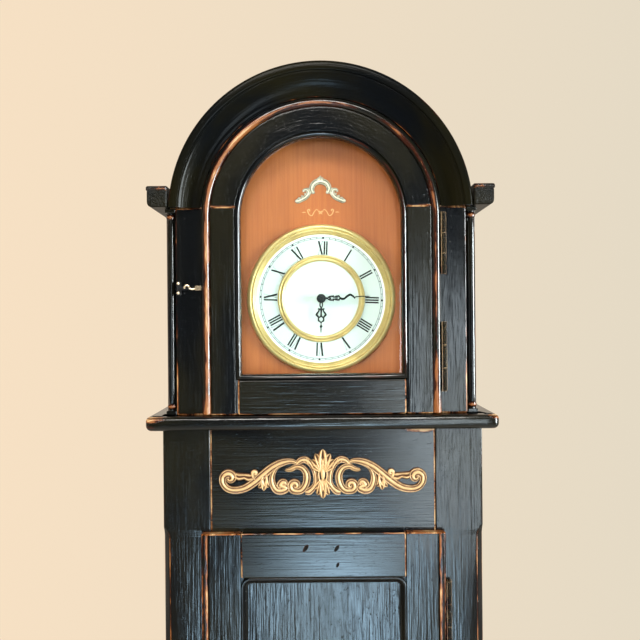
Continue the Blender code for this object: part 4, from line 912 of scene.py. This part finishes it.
ROUND_BACK = mirrored(((-1.0, 0.0), (-0.92, 0.42), (-0.70, 0.76), (-0.36, 0.95), (0.0, 1.0)))
FLUTED = mirrored(((-1.0, 0.0), (-0.97, 0.36), (-0.84, 0.74), (-0.70, 0.74), (-0.55, 0.46), (-0.44, 0.46),
                   (-0.26, 0.80), (0.0, 1.0)))
VEINED = mirrored(((-1.0, 0.0), (-0.85, 0.50), (-0.52, 0.95), (-0.20, 0.62), (-0.05, 0.18)))
FLAT = mirrored(((-1.0, 0.0), (-1.0, 0.75), (-0.75, 1.0)))
MM = 0.001


def smooth_path(points, per_span):
    """A curve through the points, in the Catmull-Rom way."""
    ends = [points[0]] + list(points) + [points[-1]]
    path = []
    for i in range(len(points) - 1):
        p0, p1, p2, p3 = (Vector(ends[i + k]) for k in range(4))
        for k in range(per_span):
            t = k / per_span
            path.append(0.5 * ((2 * p1) + (p2 - p0) * t + (2 * p0 - 5 * p1 + 4 * p2 - p3) * t * t
                               + (3 * p1 - p0 - 3 * p2 + p3) * t * t * t))
    return path + [Vector(points[-1])]


def volute(centre, inner, outer, start, turns, steps=14):
    """Points of a spiral that opens from inner to outer radius; turns is positive anticlockwise."""
    points = []
    count = max(2, round(abs(turns) * steps))
    for k in range(count + 1):
        t = k / count
        angle = math.radians(start) + 2 * math.pi * turns * t
        radius = inner * (outer / inner) ** t
        points.append((centre[0] + radius * math.cos(angle), centre[1] + radius * math.sin(angle)))
    return points


def polar(angle, length, start=0.0):
    """A point at an angle in degrees clockwise from straight up, above the height start."""
    return length * math.sin(math.radians(angle)), start + length * math.cos(math.radians(angle))


def width_at(widths, t):
    """Width a share t along a band, from evenly spaced widths."""
    spot = t * (len(widths) - 1)
    i = min(int(spot), len(widths) - 2)
    return widths[i] + (widths[i + 1] - widths[i]) * (spot - i)


def drawing(origin_z, angle=0.0, flip_x=1, flip_z=1, up=0.0):
    """Place function for millimetre drawings on an upright face: flipped, raised by up, then turned by
    angle round the point at height origin_z on the middle axis."""
    c, s = math.cos(angle) * MM, math.sin(angle) * MM

    def place(x, z, v):
        x, z = x * flip_x, z * flip_z + up
        return Vector((x * c - z * s, -v, origin_z + x * s + z * c))
    return place


class Carving(Shape):
    """Raised bands and leaves on a face at depth base, drawn in millimetres through self.place.
    Their heights are shares of the full height, and their widths are multiplied by weight."""

    def __init__(self, base, full, weight=1.0):
        super().__init__()
        self.base, self.full, self.weight = base, full, weight

    def band(self, points, widths, height=1.0, profile=ROUND_BACK, spans=4, weight=None):
        """A band along the points, curved where spans is above 0; its ends sink as they narrow."""
        path = smooth_path(points, spans) if spans else [Vector(p) for p in points]
        widths = [width * (self.weight if weight is None else weight) for width in widths]
        widest, rings, run = max(widths), [], 0.0
        for i, here in enumerate(path):
            before, after = path[max(i - 1, 0)], path[min(i + 1, len(path) - 1)]
            run += (here - before).length
            along = (after - before).normalized()
            across = Vector((-along.y, along.x))
            half = width_at(widths, i / (len(path) - 1)) / 2
            rise = self.full * height * min(1.0, half * 2 / widest) ** 0.6
            ring = []
            for a, h in profile:
                spot = here + across * a * half
                # h, the height share, goes into the wear attribute, from which the gilt paints shade into the
                # hollows
                ring.append((self.place(spot.x, spot.y, self.base + rise * h), h,
                             (run * MM, a * half * MM, h * MM)))
            rings.append(ring)
        self.loft(rings)

    def leaf(self, root, tip, width, height=1.0, bend=0.0, steps=9):
        """A pointed, veined leaf from root to tip that can bend sideways."""
        root, tip = Vector(root), Vector(tip)
        along = tip - root
        side = Vector((-along.y, along.x))
        path = [root + along * (k / steps) + side * bend * math.sin(math.pi * k / steps)
                for k in range(steps + 1)]
        shares = [0.30 + 0.70 * math.sin(math.pi * min(1.0, 0.12 + 0.88 * k / steps)) ** 0.8
                  for k in range(steps)] + [0.04]
        self.band(path, [width * share for share in shares], height, VEINED, 0, 1.0)


def build_applique():
    """Carved and gilded mount: a palmette between two pairs of scrolls, each half mirrored."""
    lo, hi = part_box("trunk_applique")
    middle = (lo.z + hi.z) / 2
    long_scroll = volute((124.5, -5.0), 1.3, 9.0, 450, -1.25)
    long_scroll += [(132.6, -12.0), (126.8, -18.6), (116.5, -20.8), (104.0, -18.2), (92.0, -10.8),
                    (80.0, -0.8), (67.0, 9.4), (53.0, 15.8), (41.0, 17.2), (33.0, 13.6)]
    ripple = [(118.6, -0.5), (112.0, -3.0), (105.0, -2.6), (99.0, -4.2), (93.5, -4.0), (88.0, -7.0)]
    bud = volute((90.6, 1.4), 1.2, 3.4, 300, -0.9) + [(93.0, -4.0), (89.0, -7.5)]
    c_scroll = [(53.5, 12.5), (62.0, 8.0), (67.0, -1.0), (67.3, -11.0), (63.0, -20.0), (56.0, -22.0),
                (49.0, -18.5)]
    c_scroll += volute((51.6, -13.6), 4.6, 1.2, -20, 0.95)
    inner = volute((37.2, -15.5), 1.3, 6.6, 430, -1.42)
    inner += [(30.0, -22.0), (24.0, -15.5), (21.3, -6.5), (22.4, 2.0), (28.0, 8.6), (36.0, 9.8), (43.5, 7.0),
              (49.5, 6.0)]
    hood = [(36.0, 12.0), (30.5, 17.5), (24.0, 19.0), (18.0, 15.5), (13.5, 9.0), (10.5, 1.0), (9.5, -9.0),
            (12.0, -17.0), (18.5, -23.0), (23.5, -24.0)]
    bands = (       # points, widths, height, profile, spans
        (long_scroll, (1.8, 2.4, 3.2, 4.0, 5.2, 6.8, 8.0, 8.0, 6.8, 6.0, 6.8, 7.8, 6.8, 2.4), 0.88, FLUTED),
        (ripple, (4.6, 7.0, 5.2, 7.4, 5.6, 2.0), 0.64, VEINED, 6),
        (bud, (2.2, 3.0, 4.0, 3.6, 1.6), 0.76),
        (c_scroll, (2.4, 5.4, 7.4, 7.8, 6.8, 5.0, 3.8, 2.8, 1.8), 0.80, FLUTED),
        (inner, (1.8, 2.6, 3.6, 4.6, 5.6, 6.8, 7.4, 7.2, 6.8, 6.4, 6.8, 5.0, 1.6), 0.86, FLUTED),
        (hood, (3.0, 5.6, 6.4, 5.6, 4.6, 4.2, 4.2, 5.2, 7.0, 4.4), 0.66, FLUTED, 5),
        ([(4.6, 7.0), (5.6, 0.0), (4.6, -8.0), (3.0, -11.0)], (1.6, 2.2, 2.2, 1.4), 0.80, ROUND_BACK, 5, 1.0))
    leaves = [((77.5, 0.5), tip, 12.4, 0.70, bend)      # root, tip, width, height, bend
              for tip, bend in (((86.5, -18.0), -0.16), ((79.0, -22.0), 0.0), ((71.5, -17.5), 0.16))]
    leaves += [((36.0, 8.0), (51.0, 5.0), 5.0, 0.60, -0.10)]
    leaves += [((19.0, 13.0), tip, 4.4, 0.62) for tip in ((27.5, 20.5), (21.5, 22.5))]
    leaves += [((0.8, 4.0), polar(angle, length, 5.0), width, 0.86, 0.06)
               for angle, length, width in ((25, 24.0, 14.0), (48, 20.5, 13.0), (72, 16.5, 11.0))]
    leaves += [((0.8, -8.0), polar(180 - angle, length, -9.0), width, 0.80, -0.05)
               for angle, length, width in ((22, 21.0, 12.0), (50, 16.0, 10.5))]
    work = Carving(-hi.y, hi.y - lo.y, weight=1.55)
    for flip in (-1, 1):
        work.place = drawing(middle, flip_x=flip)
        for band in bands:
            work.band(*band)
        for leaf in leaves:
            work.leaf(*leaf)
    work.place = drawing(middle)
    work.leaf((0.0, 4.5), (0.0, 33.0), 15.5, 0.98)
    work.leaf((0.0, -9.0), (0.0, -33.0), 13.5, 0.90)
    spine = [(0.0, 8.0), (0.0, 3.0), (0.0, -3.0), (0.0, -9.0)]
    work.band(spine, (1.6, 6.0, 7.4, 6.0, 1.6), spans=5, weight=1.0)
    # the second colour is the painted shade in the carving's hollows
    leaf_gold = gilt("carving_gilt", (0.52, 0.345, 0.165), (0.070, 0.020, 0.005), 0.12)
    work.build("trunk_carving", leaf_gold, "case", "gilt_mount", ("trunk_applique",), sharp=60.0)


def build_dial_ornament():
    """Small cast mount: an arch of leaves with scrolled wings, over a line of flourishes."""
    lo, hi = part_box("dial_ornament")
    arch = [(0.0, -8.2), (5.0, -9.0), (9.0, -11.8), (11.4, -15.8), (11.6, -19.8), (9.8, -23.2), (8.0, -22.0)]
    wing = [(22.9, -22.6), (22.4, -20.4), (20.0, -19.2), (17.4, -20.4), (16.2, -23.2), (17.4, -26.8),
            (20.8, -30.2), (25.4, -32.6), (30.0, -34.6), (33.2, -35.4)]
    work = Carving(-hi.y, hi.y - lo.y)
    for flip in (-1, 1):
        work.place = drawing(hi.z, flip_x=flip)
        work.band(arch, (5.4, 5.6, 5.4, 4.8, 4.4, 3.4, 1.6), 1.0, FLUTED, 6, 1.5)
        for x, z in ((2.6, -11.4), (6.0, -13.0), (8.2, -16.2)):
            work.leaf((x + 1.6, z + 2.2), (x - 0.4, z - 1.6), 2.2, 0.7)
        work.band(wing, (1.6, 2.0, 2.2, 2.6, 3.0, 3.2, 3.4, 3.2, 3.6, 2.4), 0.95, FLUTED, 5, 2.0)
        for root, tip, width in (((14.5, -21.0), (18.2, -17.2), 2.6), ((23.0, -31.0), (26.6, -27.2), 3.4),
                                 ((27.0, -32.0), (31.0, -30.6), 3.0), ((13.0, -22.5), (15.0, -27.6), 3.2),
                                 ((19.5, -27.0), (22.4, -24.2), 2.4), ((30.5, -34.0), (34.3, -36.6), 3.8)):
            work.leaf(root, tip, width, 0.85, 0.10)
        work.leaf((1.0, -5.6), (3.8, -2.8), 2.8, 0.9)
        work.band([(0.4, -8.0), (2.0, -6.6), (3.4, -6.2)], (2.0, 2.2, 1.0), 0.8)
    work.place = drawing(hi.z)
    work.leaf((0.0, -6.2), (0.0, -0.2), 3.4)
    # the second colour is the painted shade in the mount's hollows
    silvery = gilt("mount_gilt", (0.90, 0.84, 0.66), (0.060, 0.045, 0.022), 0.15, 0.0006)
    work.build("dial_mount", silvery, "case", "gilt_mount", ("dial_ornament",), sharp=60.0)

    line_z = hi.z - 0.0505
    wave = [(2.0, 0.0), (5.0, 4.2), (8.6, 1.0), (11.6, -4.2), (15.6, -2.4), (17.4, 1.8)]
    wave += volute((15.6, 2.8), 2.0, 0.6, 0, 0.9)
    flourish = Carving(-edge("dial_board", LO, "y"), 0.00022)
    for flip in (-1, 1):
        flourish.place = drawing(line_z, flip_x=flip)
        flourish.band(wave, (0.6, 1.2, 1.5, 1.3, 1.1, 0.8, 0.5), spans=5)
        flourish.band([(20.0, 0.2), (22.5, 0.5), (25.5, 0.1)], (0.4, 1.3, 0.4))
    flourish.place = drawing(line_z)
    for turn in range(4):
        flourish.leaf((0, 0), polar(45 + 90 * turn, 3.4), 1.7)
    # the second colour is the painted shade in the flourish's hollows
    gold = gilt("painted_gold", (0.78, 0.44, 0.18), (0.62, 0.30, 0.11), 0.0, 0.0003)
    flourish.build("board_flourish", gold, "case", "gilt_mount", sharp=60.0)


# ---------------------------------------------------------------- dial

DIAL_Z = (edge("dial_disc", LO, "z") + edge("dial_disc", HI, "z")) / 2
DIAL_FACE = -edge("dial_disc", LO, "y")
DIAL_TURN = math.radians(-2.2)
PRINT = 0.00012  # thickness of the dial printing
HOURS = ("XII", "I", "II", "III", "IIII", "V", "VI", "VII", "VIII", "IX", "X", "XI")
LETTER_WIDTH = {"I": 3.3, "V": 7.4, "X": 7.6}


def printed(shape, outline, place):
    """A flat printed patch with the given outline."""
    shape.loft([[(place(x, z, v), 0.0, (x * MM, z * MM, 0.0)) for x, z in outline]
                for v in (DIAL_FACE, DIAL_FACE + PRINT)])


def bar(shape, a, b, width, place):
    """A straight printed stroke from a to b, its ends cut level with the numeral's foot and head."""
    half = width / 2
    outline = [(a[0] - half, a[1]), (a[0] + half, a[1]), (b[0] + half, b[1]), (b[0] - half, b[1])]
    printed(shape, outline, place)


def numeral(shape, text, place, height=18.2, stroke=2.5, hair=0.42, serif=0.32):
    """A Roman numeral drawn round the origin: broad strokes, hairlines and thin serifs."""
    x = -sum(LETTER_WIDTH[letter] for letter in text) / 2
    top, foot = height / 2, -height / 2
    for letter in text:
        wide = LETTER_WIDTH[letter]
        mid, reach = x + wide / 2, wide / 2 - 1.25
        left, right = mid - reach, mid + reach
        if letter == "I":
            bar(shape, (mid, foot), (mid, top), stroke * 0.82, place)
            serifs = ((mid, top, 2.6), (mid, foot, 2.6))
        elif letter == "V":
            bar(shape, (mid, foot), (left, top), stroke, place)
            bar(shape, (mid + 0.3, foot), (right, top), hair, place)
            serifs = ((left, top, 3.4), (right, top, 2.4))
        else:
            bar(shape, (right, foot), (left, top), stroke, place)
            bar(shape, (left, foot), (right, top), hair, place)
            serifs = ((left, top, 3.2), (right, top, 2.4), (right, foot, 3.2), (left, foot, 2.4))
        for spot, z, width in serifs:
            inner = z - math.copysign(serif, z)
            bar(shape, (spot, min(z, inner)), (spot, max(z, inner)), width, place)
        x += wide


def build_dial():
    centre = (0, 0, DIAL_Z)
    radius, back = edge("dial_disc", HI, "x"), -edge("dial_disc", HI, "y")
    disc = [(0.0, back), (radius, back), (radius, DIAL_FACE - 0.0005), (radius - 0.0006, DIAL_FACE - 0.0001),
            (radius * 0.5, DIAL_FACE), (0.0, DIAL_FACE)]
    turned("dial_plate", disc, centre, "y", enamel("dial_enamel", (0.69, 0.81, 0.78)), "case", "dial_enamel",
           ("dial_disc",), 128)
    rim_in, rim_out = 0.0846, radius - 0.0002
    rim = [(rim_in, DIAL_FACE - 0.0002), (rim_out, DIAL_FACE - 0.0002), (rim_out, DIAL_FACE + 0.0003),
           (rim_in + 0.0004, DIAL_FACE + 0.0003), (rim_in, DIAL_FACE + 0.0001)]
    turned("dial_rim", rim, centre, "y", enamel("rim_enamel", (0.95, 0.98, 0.97)), "case", "dial_enamel",
           (), 128)

    ink = print_ink("dial_ink", (0.008, 0.012, 0.010))
    numerals, marks = Shape(), Shape()
    for hour, text in enumerate(HOURS):
        numeral(numerals, text, drawing(DIAL_Z, DIAL_TURN - math.radians(30 * hour), up=68.8))
    numerals.build("hour_numerals", ink, "case", "black_steel", sharp=30.0)
    for minute in range(60):
        place = drawing(DIAL_Z, DIAL_TURN - math.radians(6 * minute), up=82.3)
        if minute % 5:
            bar(marks, (0, -1.15), (0, 1.15), 0.75, place)
        else:
            printed(marks, [polar(90 - angle, 1.35) for angle in range(0, 360, 30)], place)
    marks.build("minute_marks", ink, "case", "black_steel", sharp=30.0)
    grey, half = print_ink("track_ink", (0.11, 0.13, 0.15)), 0.00030
    for name, at in (("minute_circle_inner", 0.0812), ("minute_circle_outer", 0.0835)):
        circle = [(at - half, DIAL_FACE), (at + half, DIAL_FACE), (at + half, DIAL_FACE + PRINT),
                  (at - half, DIAL_FACE + PRINT)]
        turned(name, circle, centre, "y", grey, "case", "black_steel", (), 180)


def bezel(name, node, rim, drops, wall, material, steps):
    """A turned ring: rim is the outer wall's height, drops are the face's corners as (distance in from the
    outside, distance below the front), and wall is the inner wall's (distance in, top)."""
    lo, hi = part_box(node)
    back, front, outer = -hi.y, -lo.y, hi.x
    corners = [(outer, back), (outer, back + rim)] + [(outer - inset, front - drop) for inset, drop in drops]
    corners += [(outer - wall[0], wall[1]), (outer - wall[0], back)]
    profile = [point[:2] for point in rounded_section([(r, v, 0.0007, 0.0) for r, v in corners], 3, 0.01)]
    turned(name, profile, (0, 0, DIAL_Z), "y", material, "case", "dial_brass", (node,), steps)


def build_bezels():
    brass = metal("dial_brass", (0.86, 0.68, 0.30), (0.52, 0.34, 0.12), 0.30, wear=0.45, bump=0.000012,
                  lathe=(0.0, DIAL_Z), metallic=0.68)
    reeds = ((0.0016, 0.0012), (0.0044, 0.0), (0.0060, 0.0004), (0.0068, 0.0022), (0.0078, 0.0010),
             (0.0096, 0.0016), (0.0102, 0.0030), (0.0108, 0.0024), (0.0116, 0.0036), (0.0122, 0.0031),
             (0.0131, 0.0048), (0.0136, 0.0050))
    bezel("dial_bezel", "outer_bezel", 0.0026, reeds, (0.0140, DIAL_FACE + 0.0004), brass, 160)
    reeds = ((0.0010, 0.0006), (0.0024, 0.0002), (0.0034, 0.0016), (0.0044, 0.0005), (0.0062, 0.0),
             (0.0076, 0.0009))
    wall = (0.0085, 0.0006 - edge("inner_bezel", HI, "y"))
    bezel("chapter_bezel", "inner_bezel", 0.0012, reeds, wall, brass, 128)


# ---------------------------------------------------------------- hands

HAND_THICK, HAND_WEIGHT = 0.0011, 1.7


def cut_hand(node, body, angle, middle, sides, material):
    """A pierced hand drawn along +X: bands (points, widths, spans) on its middle and on both sides of it."""
    work = Carving(-edge(node, HI, "y"), HAND_THICK, HAND_WEIGHT)
    for flip, bands in ((1, middle), (-1, sides), (1, sides)):
        work.place = drawing(DIAL_Z, math.radians(angle), flip_z=flip)
        for points, widths, spans in bands:
            work.band(points, widths, 1.0, FLAT, spans)
    work.build(node + "_cut", material, body, "black_steel", (node,), sharp=25.0)


def build_hands():
    """Pierced, scrolled hands, drawn in millimetres."""
    blued = dark_iron("hand_steel", (0.010, 0.014, 0.012), 0.42)
    lo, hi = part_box("minute_hand")
    wave = [(25.0, 0.2), (28.0, -1.3), (31.0, -1.0), (34.8, 2.0), (38.8, 4.0), (42.2, 2.4), (44.6, 0.4),
            (47.0, 1.0), (54.0, 1.4), (hi.x / MM, 1.2)]
    middle = ((wave, (1.4, 1.8, 1.7, 1.7, 1.8, 1.5, 1.0, 0.85, 0.8, 0.5), 6),
              ([(43.0, 1.6), (44.6, -0.2), (44.9, -1.8)], (1.2, 1.2, 0.2), 4),
              ([(6.0, 0), (9.0, 0)], (1.6, 0.8), 0))
    curl = [(6.0, 0.6), (8.6, 0.5), (10.4, 2.0), (14.6, 2.6), (17.0, 1.3), (20.5, 2.4), (23.6, 2.3),
            (25.4, 0.2)]
    sides = ((curl, (1.0, 1.0, 1.0, 1.3, 0.9, 1.2, 1.3, 0.9), 6),
             ([(10.2, 2.0), (11.6, 0.5), (13.4, 0.7)], (0.8, 1.0, 0.4), 5),
             ([(16.6, 1.2), (16.2, 3.2), (15.8, 4.2)], (0.8, 1.0, 0.3), 4),
             ([(23.2, 2.2), (23.6, 3.4), (24.4, 4.0)], (0.9, 0.8, 0.3), 4),
             ([(19.0, 0.0), (20.6, 1.0), (22.6, 0.6)], (0.6, 0.8, 0.4), 4))
    cut_hand("minute_hand", "minute_arbor", 1, middle, sides, blued)

    boss, foot, front = 0.0062, -hi.y - 0.0006, -lo.y
    hub = [(0.0, foot), (boss, foot), (boss, front - 0.0016), (boss - 0.0006, front - 0.0006),
           (boss - 0.0014, front - 0.0003), (boss - 0.0019, front - 0.0008), (0.0028, front - 0.0007),
           (0.0025, front - 0.0001), (0.0018, front), (0.0013, front - 0.0006), (0.0, front - 0.0005)]
    turned("minute_hand_boss", hub, (0, 0, DIAL_Z), "y", dark_iron("boss_steel", (0.035, 0.042, 0.042), 0.30),
           "minute_arbor", "black_steel", (), 64)

    lo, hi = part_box("hour_hand")
    back = -hi.y
    lyre = [(13.4, 3.4), (16.6, 3.0), (19.4, 4.9), (21.8, 6.3), (23.6, 4.8), (25.4, 3.2), (24.6, 1.2),
            (23.4, 0.3)]
    loop = [(24.8, 3.0), (27.0, 3.4), (29.6, 3.5), (31.0, 1.6), (32.6, 0.2)]
    spear = [(31.5, 0), (35.8, 0), (37.8, 0), (39.8, 0), (43.0, 0), ((DIAL_Z - lo.z) / MM, 0)]
    middle = (([(11.0, 0), (14.0, 0), (19.0, 0), (24.4, 0)], (1.0, 1.6, 1.2, 1.4), 0),
              (spear, (0.9, 0.8, 2.4, 0.9, 0.8, 0.4), 0))
    sides = (([(5.0, 1.0), (7.5, 1.7), (10.0, 1.6), (12.4, 0.3)], (1.0, 0.9, 0.9, 0.8), 5),
             ([(15.4, 0.4), (14.4, 2.2), (13.8, 3.6), (14.6, 4.9)], (1.0, 1.0, 1.0, 0.3), 5),
             (lyre, (0.8, 1.2, 1.4, 1.6, 1.5, 1.2, 1.2, 1.0), 5),
             (loop, (1.0, 1.1, 1.2, 1.1, 0.8), 5),
             ([(29.6, 3.4), (31.2, 4.2)], (1.0, 0.4), 2))
    cut_hand("hour_hand", "hour_pipe", -91, middle, sides, blued)
    ring = [(0.0034, back), (0.0062, back), (0.0062, back + HAND_THICK), (0.0034, back + HAND_THICK)]
    turned("hour_hand_ring", ring, (0, 0, DIAL_Z), "y", blued, "hour_pipe", "black_steel", (), 48)


def build_dial_board():
    """The veneered board behind the dial, with its arched top."""
    lo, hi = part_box("dial_board")
    front, back, half, radius = -lo.y, -hi.y, hi.x, hi.z - ARCH_Z
    spring, steps, shoulder = math.acos(0.93), 40, ARCH_Z - 0.02
    outline = [(-half, lo.z), (-half, shoulder)]
    for k in range(steps + 1):
        angle = math.pi - spring - (math.pi - 2 * spring) * k / steps
        outline.append((radius * math.cos(angle), ARCH_Z + radius * math.sin(angle)))
    outline += [(half, shoulder), (half, lo.z)]
    shape = Shape()
    shape.loft([[(Vector((x, -v, z)), 0.0, (z, x, v)) for x, z in outline] for v in (back, front)])
    veneer = bare_wood("board_veneer", (0.54, 0.158, 0.034), (0.40, 0.098, 0.021), roughness=0.42,
                       bands=240.0)
    shape.build("dial_board_veneered", veneer, "case", "board_veneer", ("dial_board",))


# ---------------------------------------------------------------- hardware, movement, rope and weight

def twisted_rope(name, path, radius, material, node, pitch=0.013, strands=3, steps=7):
    """A laid rope: strands that wind round the path's points."""
    shape = Shape()
    core, thin, side = radius * 0.52, radius * 0.56, Vector((0, 1, 0))
    run = [0.0]
    for a, b in zip(path, path[1:]):
        run.append(run[-1] + (b - a).length)
    for strand in range(strands):
        rings = []
        for i, here in enumerate(path):
            along = (path[min(i + 1, len(path) - 1)] - path[max(i - 1, 0)]).normalized()
            across = along.cross(side).normalized()
            angle = 2 * math.pi * (run[i] / pitch + strand / strands)
            centre = here + (across * math.cos(angle) + side * math.sin(angle)) * core
            ring = []
            for k in range(steps):
                turn = 2 * math.pi * k / steps
                spot = centre + (across * math.cos(turn) + side * math.sin(turn)) * thin
                ring.append((spot, 0.0, (run[i], turn * thin, strand * 0.01)))
            rings.append(ring)
        shape.loft(rings)
    return shape.build(name, material, "case", "rope", (node,), sharp=60.0)


def build_ropes():
    fibre, step = rope_fibre("rope_fibre", (0.56, 0.44, 0.27)), 0.0016
    lo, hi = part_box("weight_line")
    x, y, radius, span = (lo.x + hi.x) / 2, (lo.y + hi.y) / 2, (hi.x - lo.x) / 2, hi.z - lo.z
    count = round(span / step)
    path = [Vector((x, y, hi.z - span * k / count)) for k in range(count + 1)]
    hanging = twisted_rope("weight_rope", path, radius, fibre, "weight_line")
    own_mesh(hanging)

    lo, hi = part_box("free_line")
    reach, bends = (hi.x - lo.x) / 2 - radius, 40
    centre_z = hi.z - reach - radius
    angles = [math.pi * k / bends for k in range(bends + 1)]
    path = [Vector((reach * math.cos(angle), y, centre_z + reach * math.sin(angle))) for angle in angles]
    count = round((centre_z - lo.z) / step)
    path += [Vector((-reach, y, centre_z - (centre_z - lo.z) * k / count)) for k in range(1, count + 1)]
    twisted_rope("free_rope", path, radius, fibre, "free_line")


def finish_cad_nodes():
    """Materials for the CAD nodes whose shapes are carried over, and the two nails of the catch plate."""
    old_brass = metal("old_brass", (0.86, 0.70, 0.48), (0.30, 0.20, 0.11), 0.20, wear=0.6, metallic=0.6)
    old_steel = metal("old_steel", (0.30, 0.23, 0.15), (0.12, 0.08, 0.05), 0.20, wear=0.5, metallic=0.6)
    brass = metal("movement_brass", (0.78, 0.57, 0.23), (0.55, 0.34, 0.11), 0.22, wear=0.4)
    steel = metal("arbor_steel", (0.50, 0.51, 0.53), (0.26, 0.23, 0.20), 0.24)
    case_brass = metal("weight_brass", (0.80, 0.60, 0.26), (0.58, 0.36, 0.12), 0.20, wear=0.5)
    iron = black_paint("painted_iron", from_object=True, streak=0.6, reach=0.0006)
    pine = bare_wood("backboard_pine", (0.42, 0.255, 0.13), (0.24, 0.125, 0.055), True, bands=34.0)
    oak = bare_wood("seatboard_oak", (0.36, 0.22, 0.11), (0.20, 0.11, 0.05), True, bands=50.0)
    groups = {
        old_brass: ("door_hook",),
        old_steel: ("hook_eye",),
        dark_iron("old_iron"): ("catch_plate",),
        case_brass: ("latch_escutcheon", "trunk_latch", "weight_shell", "pendulum_bob", "rating_nut"),
        brass: ("front_plate", "back_plate", "back_cock", "great_wheel", "centre_wheel", "third_wheel",
                "escape_wheel", "minute_wheel", "hour_wheel", "cannon_pinion"),
        steel: ("pallet_anchor", "pendulum_rod"),
        pine: ("backboard",),
        oak: ("seatboard",),
        iron: tuple(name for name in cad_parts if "_hinge_" in name),
    }
    for material, names in groups.items():
        for name in names:
            use(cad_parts[name], material)
    lo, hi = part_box("catch_plate")
    middle, spread, inset = (lo.z + hi.z) / 2, 0.0064, 0.0036
    dome = [(0.0, 0.0), (0.0019, 0.0), (0.0017, 0.0005), (0.0010, 0.0009), (0.0, 0.0011)]
    for name, z in (("catch_nail_upper", middle + spread), ("catch_nail_lower", middle - spread)):
        turned(name, dome, (lo.x + inset, lo.y - GAP, z), "y", old_brass, "hood", "brass", (), 20)


# ---------------------------------------------------------------- stage

LIGHT_SPREAD = math.radians(95)


def panel_light(name, location, target, size, power, colour, mirrored=True):
    """A soft panel; one that is not mirrored lights surfaces but leaves no highlight in the gloss."""
    light = bpy.data.lights.new(name, "AREA")
    light.shape, light.size, light.size_y = "RECTANGLE", *size
    light.energy, light.color, light.spread = power, colour, LIGHT_SPREAD
    lamp = bpy.data.objects.new(name, light)
    lamp.location = location
    lamp.visible_glossy = mirrored
    lamp.rotation_euler = (Vector(target) - Vector(location)).to_track_quat("-Z", "Y").to_euler()
    bpy.context.scene.collection.objects.link(lamp)


def build_floor():
    bpy.ops.mesh.primitive_plane_add(size=1, location=(0, -2.6, -0.0005))
    floor = bpy.context.object
    floor.name, floor.scale = "floor", (7.0, 8.0, 1.0)
    look = Look("pale_floor")
    tint = look.mix(look.noise(look.place(), 3.0, 4.0), (0.50, 0.48, 0.45), (0.57, 0.55, 0.52))
    floor.data.materials.append(look.done(Base_Color=tint, Roughness=0.6))


def build_room():
    """A room that lights the clock from behind more than from in front; the eye sees a pale wall with painted
    light on it, warmer and brighter on the left than on the right.
    """
    world = bpy.data.worlds.new("room")
    bpy.context.scene.world = world
    world.use_nodes = True
    room = Nodes(world.node_tree)
    x, y, _ = room.split(room.node("TexCoord", {}, "Generated"))
    light = room.mix(room.step(y, -0.15, 0.35), (0.035, 0.032, 0.028), (0.72, 0.62, 0.50))
    # painted light on the wall: warm and bright on the left, fading to cooler and dimmer on the right
    across = room.step(x, -0.35, 0.35, curve="LINEAR")
    wall = room.mix(across, (0.93, 0.75, 0.55), (0.78, 0.70, 0.56))
    seen = room.node("LightPath", {}, "Is Camera Ray")
    room.feed(world.node_tree.nodes["Background"].inputs["Color"], room.mix(seen, light, wall))


def build_lights():
    chest, left = (0, -0.1, 1.55), (-3.1, -1.5, 1.8)
    cool, sky, day = (0.80, 0.93, 1.0), (0.52, 0.79, 1.0), (0.90, 0.98, 1.0)
    warm, pale = (1.0, 0.90, 0.76), (1.0, 0.97, 0.92)
    panel_light("tall_window", (0.85, -4.6, 1.0), (0.15, -0.1, 1.5), (0.7, 1.7), 8, cool)
    panel_light("low_window", (0.06, -2.6, 0.42), (0.03, -0.1, 1.25), (0.42, 0.62), 3.6, sky)
    panel_light("window_right", (3.1, -1.5, 1.6), chest, (1.0, 1.7), 85, day)
    panel_light("soft_left", left, chest, (0.9, 1.7), 32, warm, mirrored=False)
    panel_light("left_glint", left, chest, (0.25, 1.7), 8, warm)
    panel_light("soft_top", (-0.2, -2.4, 3.5), chest, (1.8, 0.8), 22, pale)
    panel_light("room_fill", (-0.3, -4.2, 2.1), chest, (2.4, 1.6), 34, pale, mirrored=False)


def build_camera():
    level_turn = math.radians(0.5)
    data = bpy.data.cameras.new("camera")
    data.lens = 50.6
    camera = bpy.data.objects.new("camera", data)
    camera.location = (-0.002, -1.288, 1.6125)
    camera.rotation_euler = (math.radians(90.0), level_turn, 0.0)
    bpy.context.scene.collection.objects.link(camera)
    bpy.context.scene.camera = camera
    bpy.context.scene.view_settings.view_transform = "Standard"


build_trunk_frame()
build_sides()
build_waist()
build_base()
build_base_mouldings()
build_hood_frame()
build_arch_moulding()
build_roof()
build_ears()
build_columns()
build_hood_door()
build_trunk_door()
build_dents()
build_applique()
build_dial_ornament()
build_dial_board()
build_dial()
build_bezels()
build_hands()
build_ropes()
finish_cad_nodes()
build_floor()
build_room()
build_lights()
build_camera()
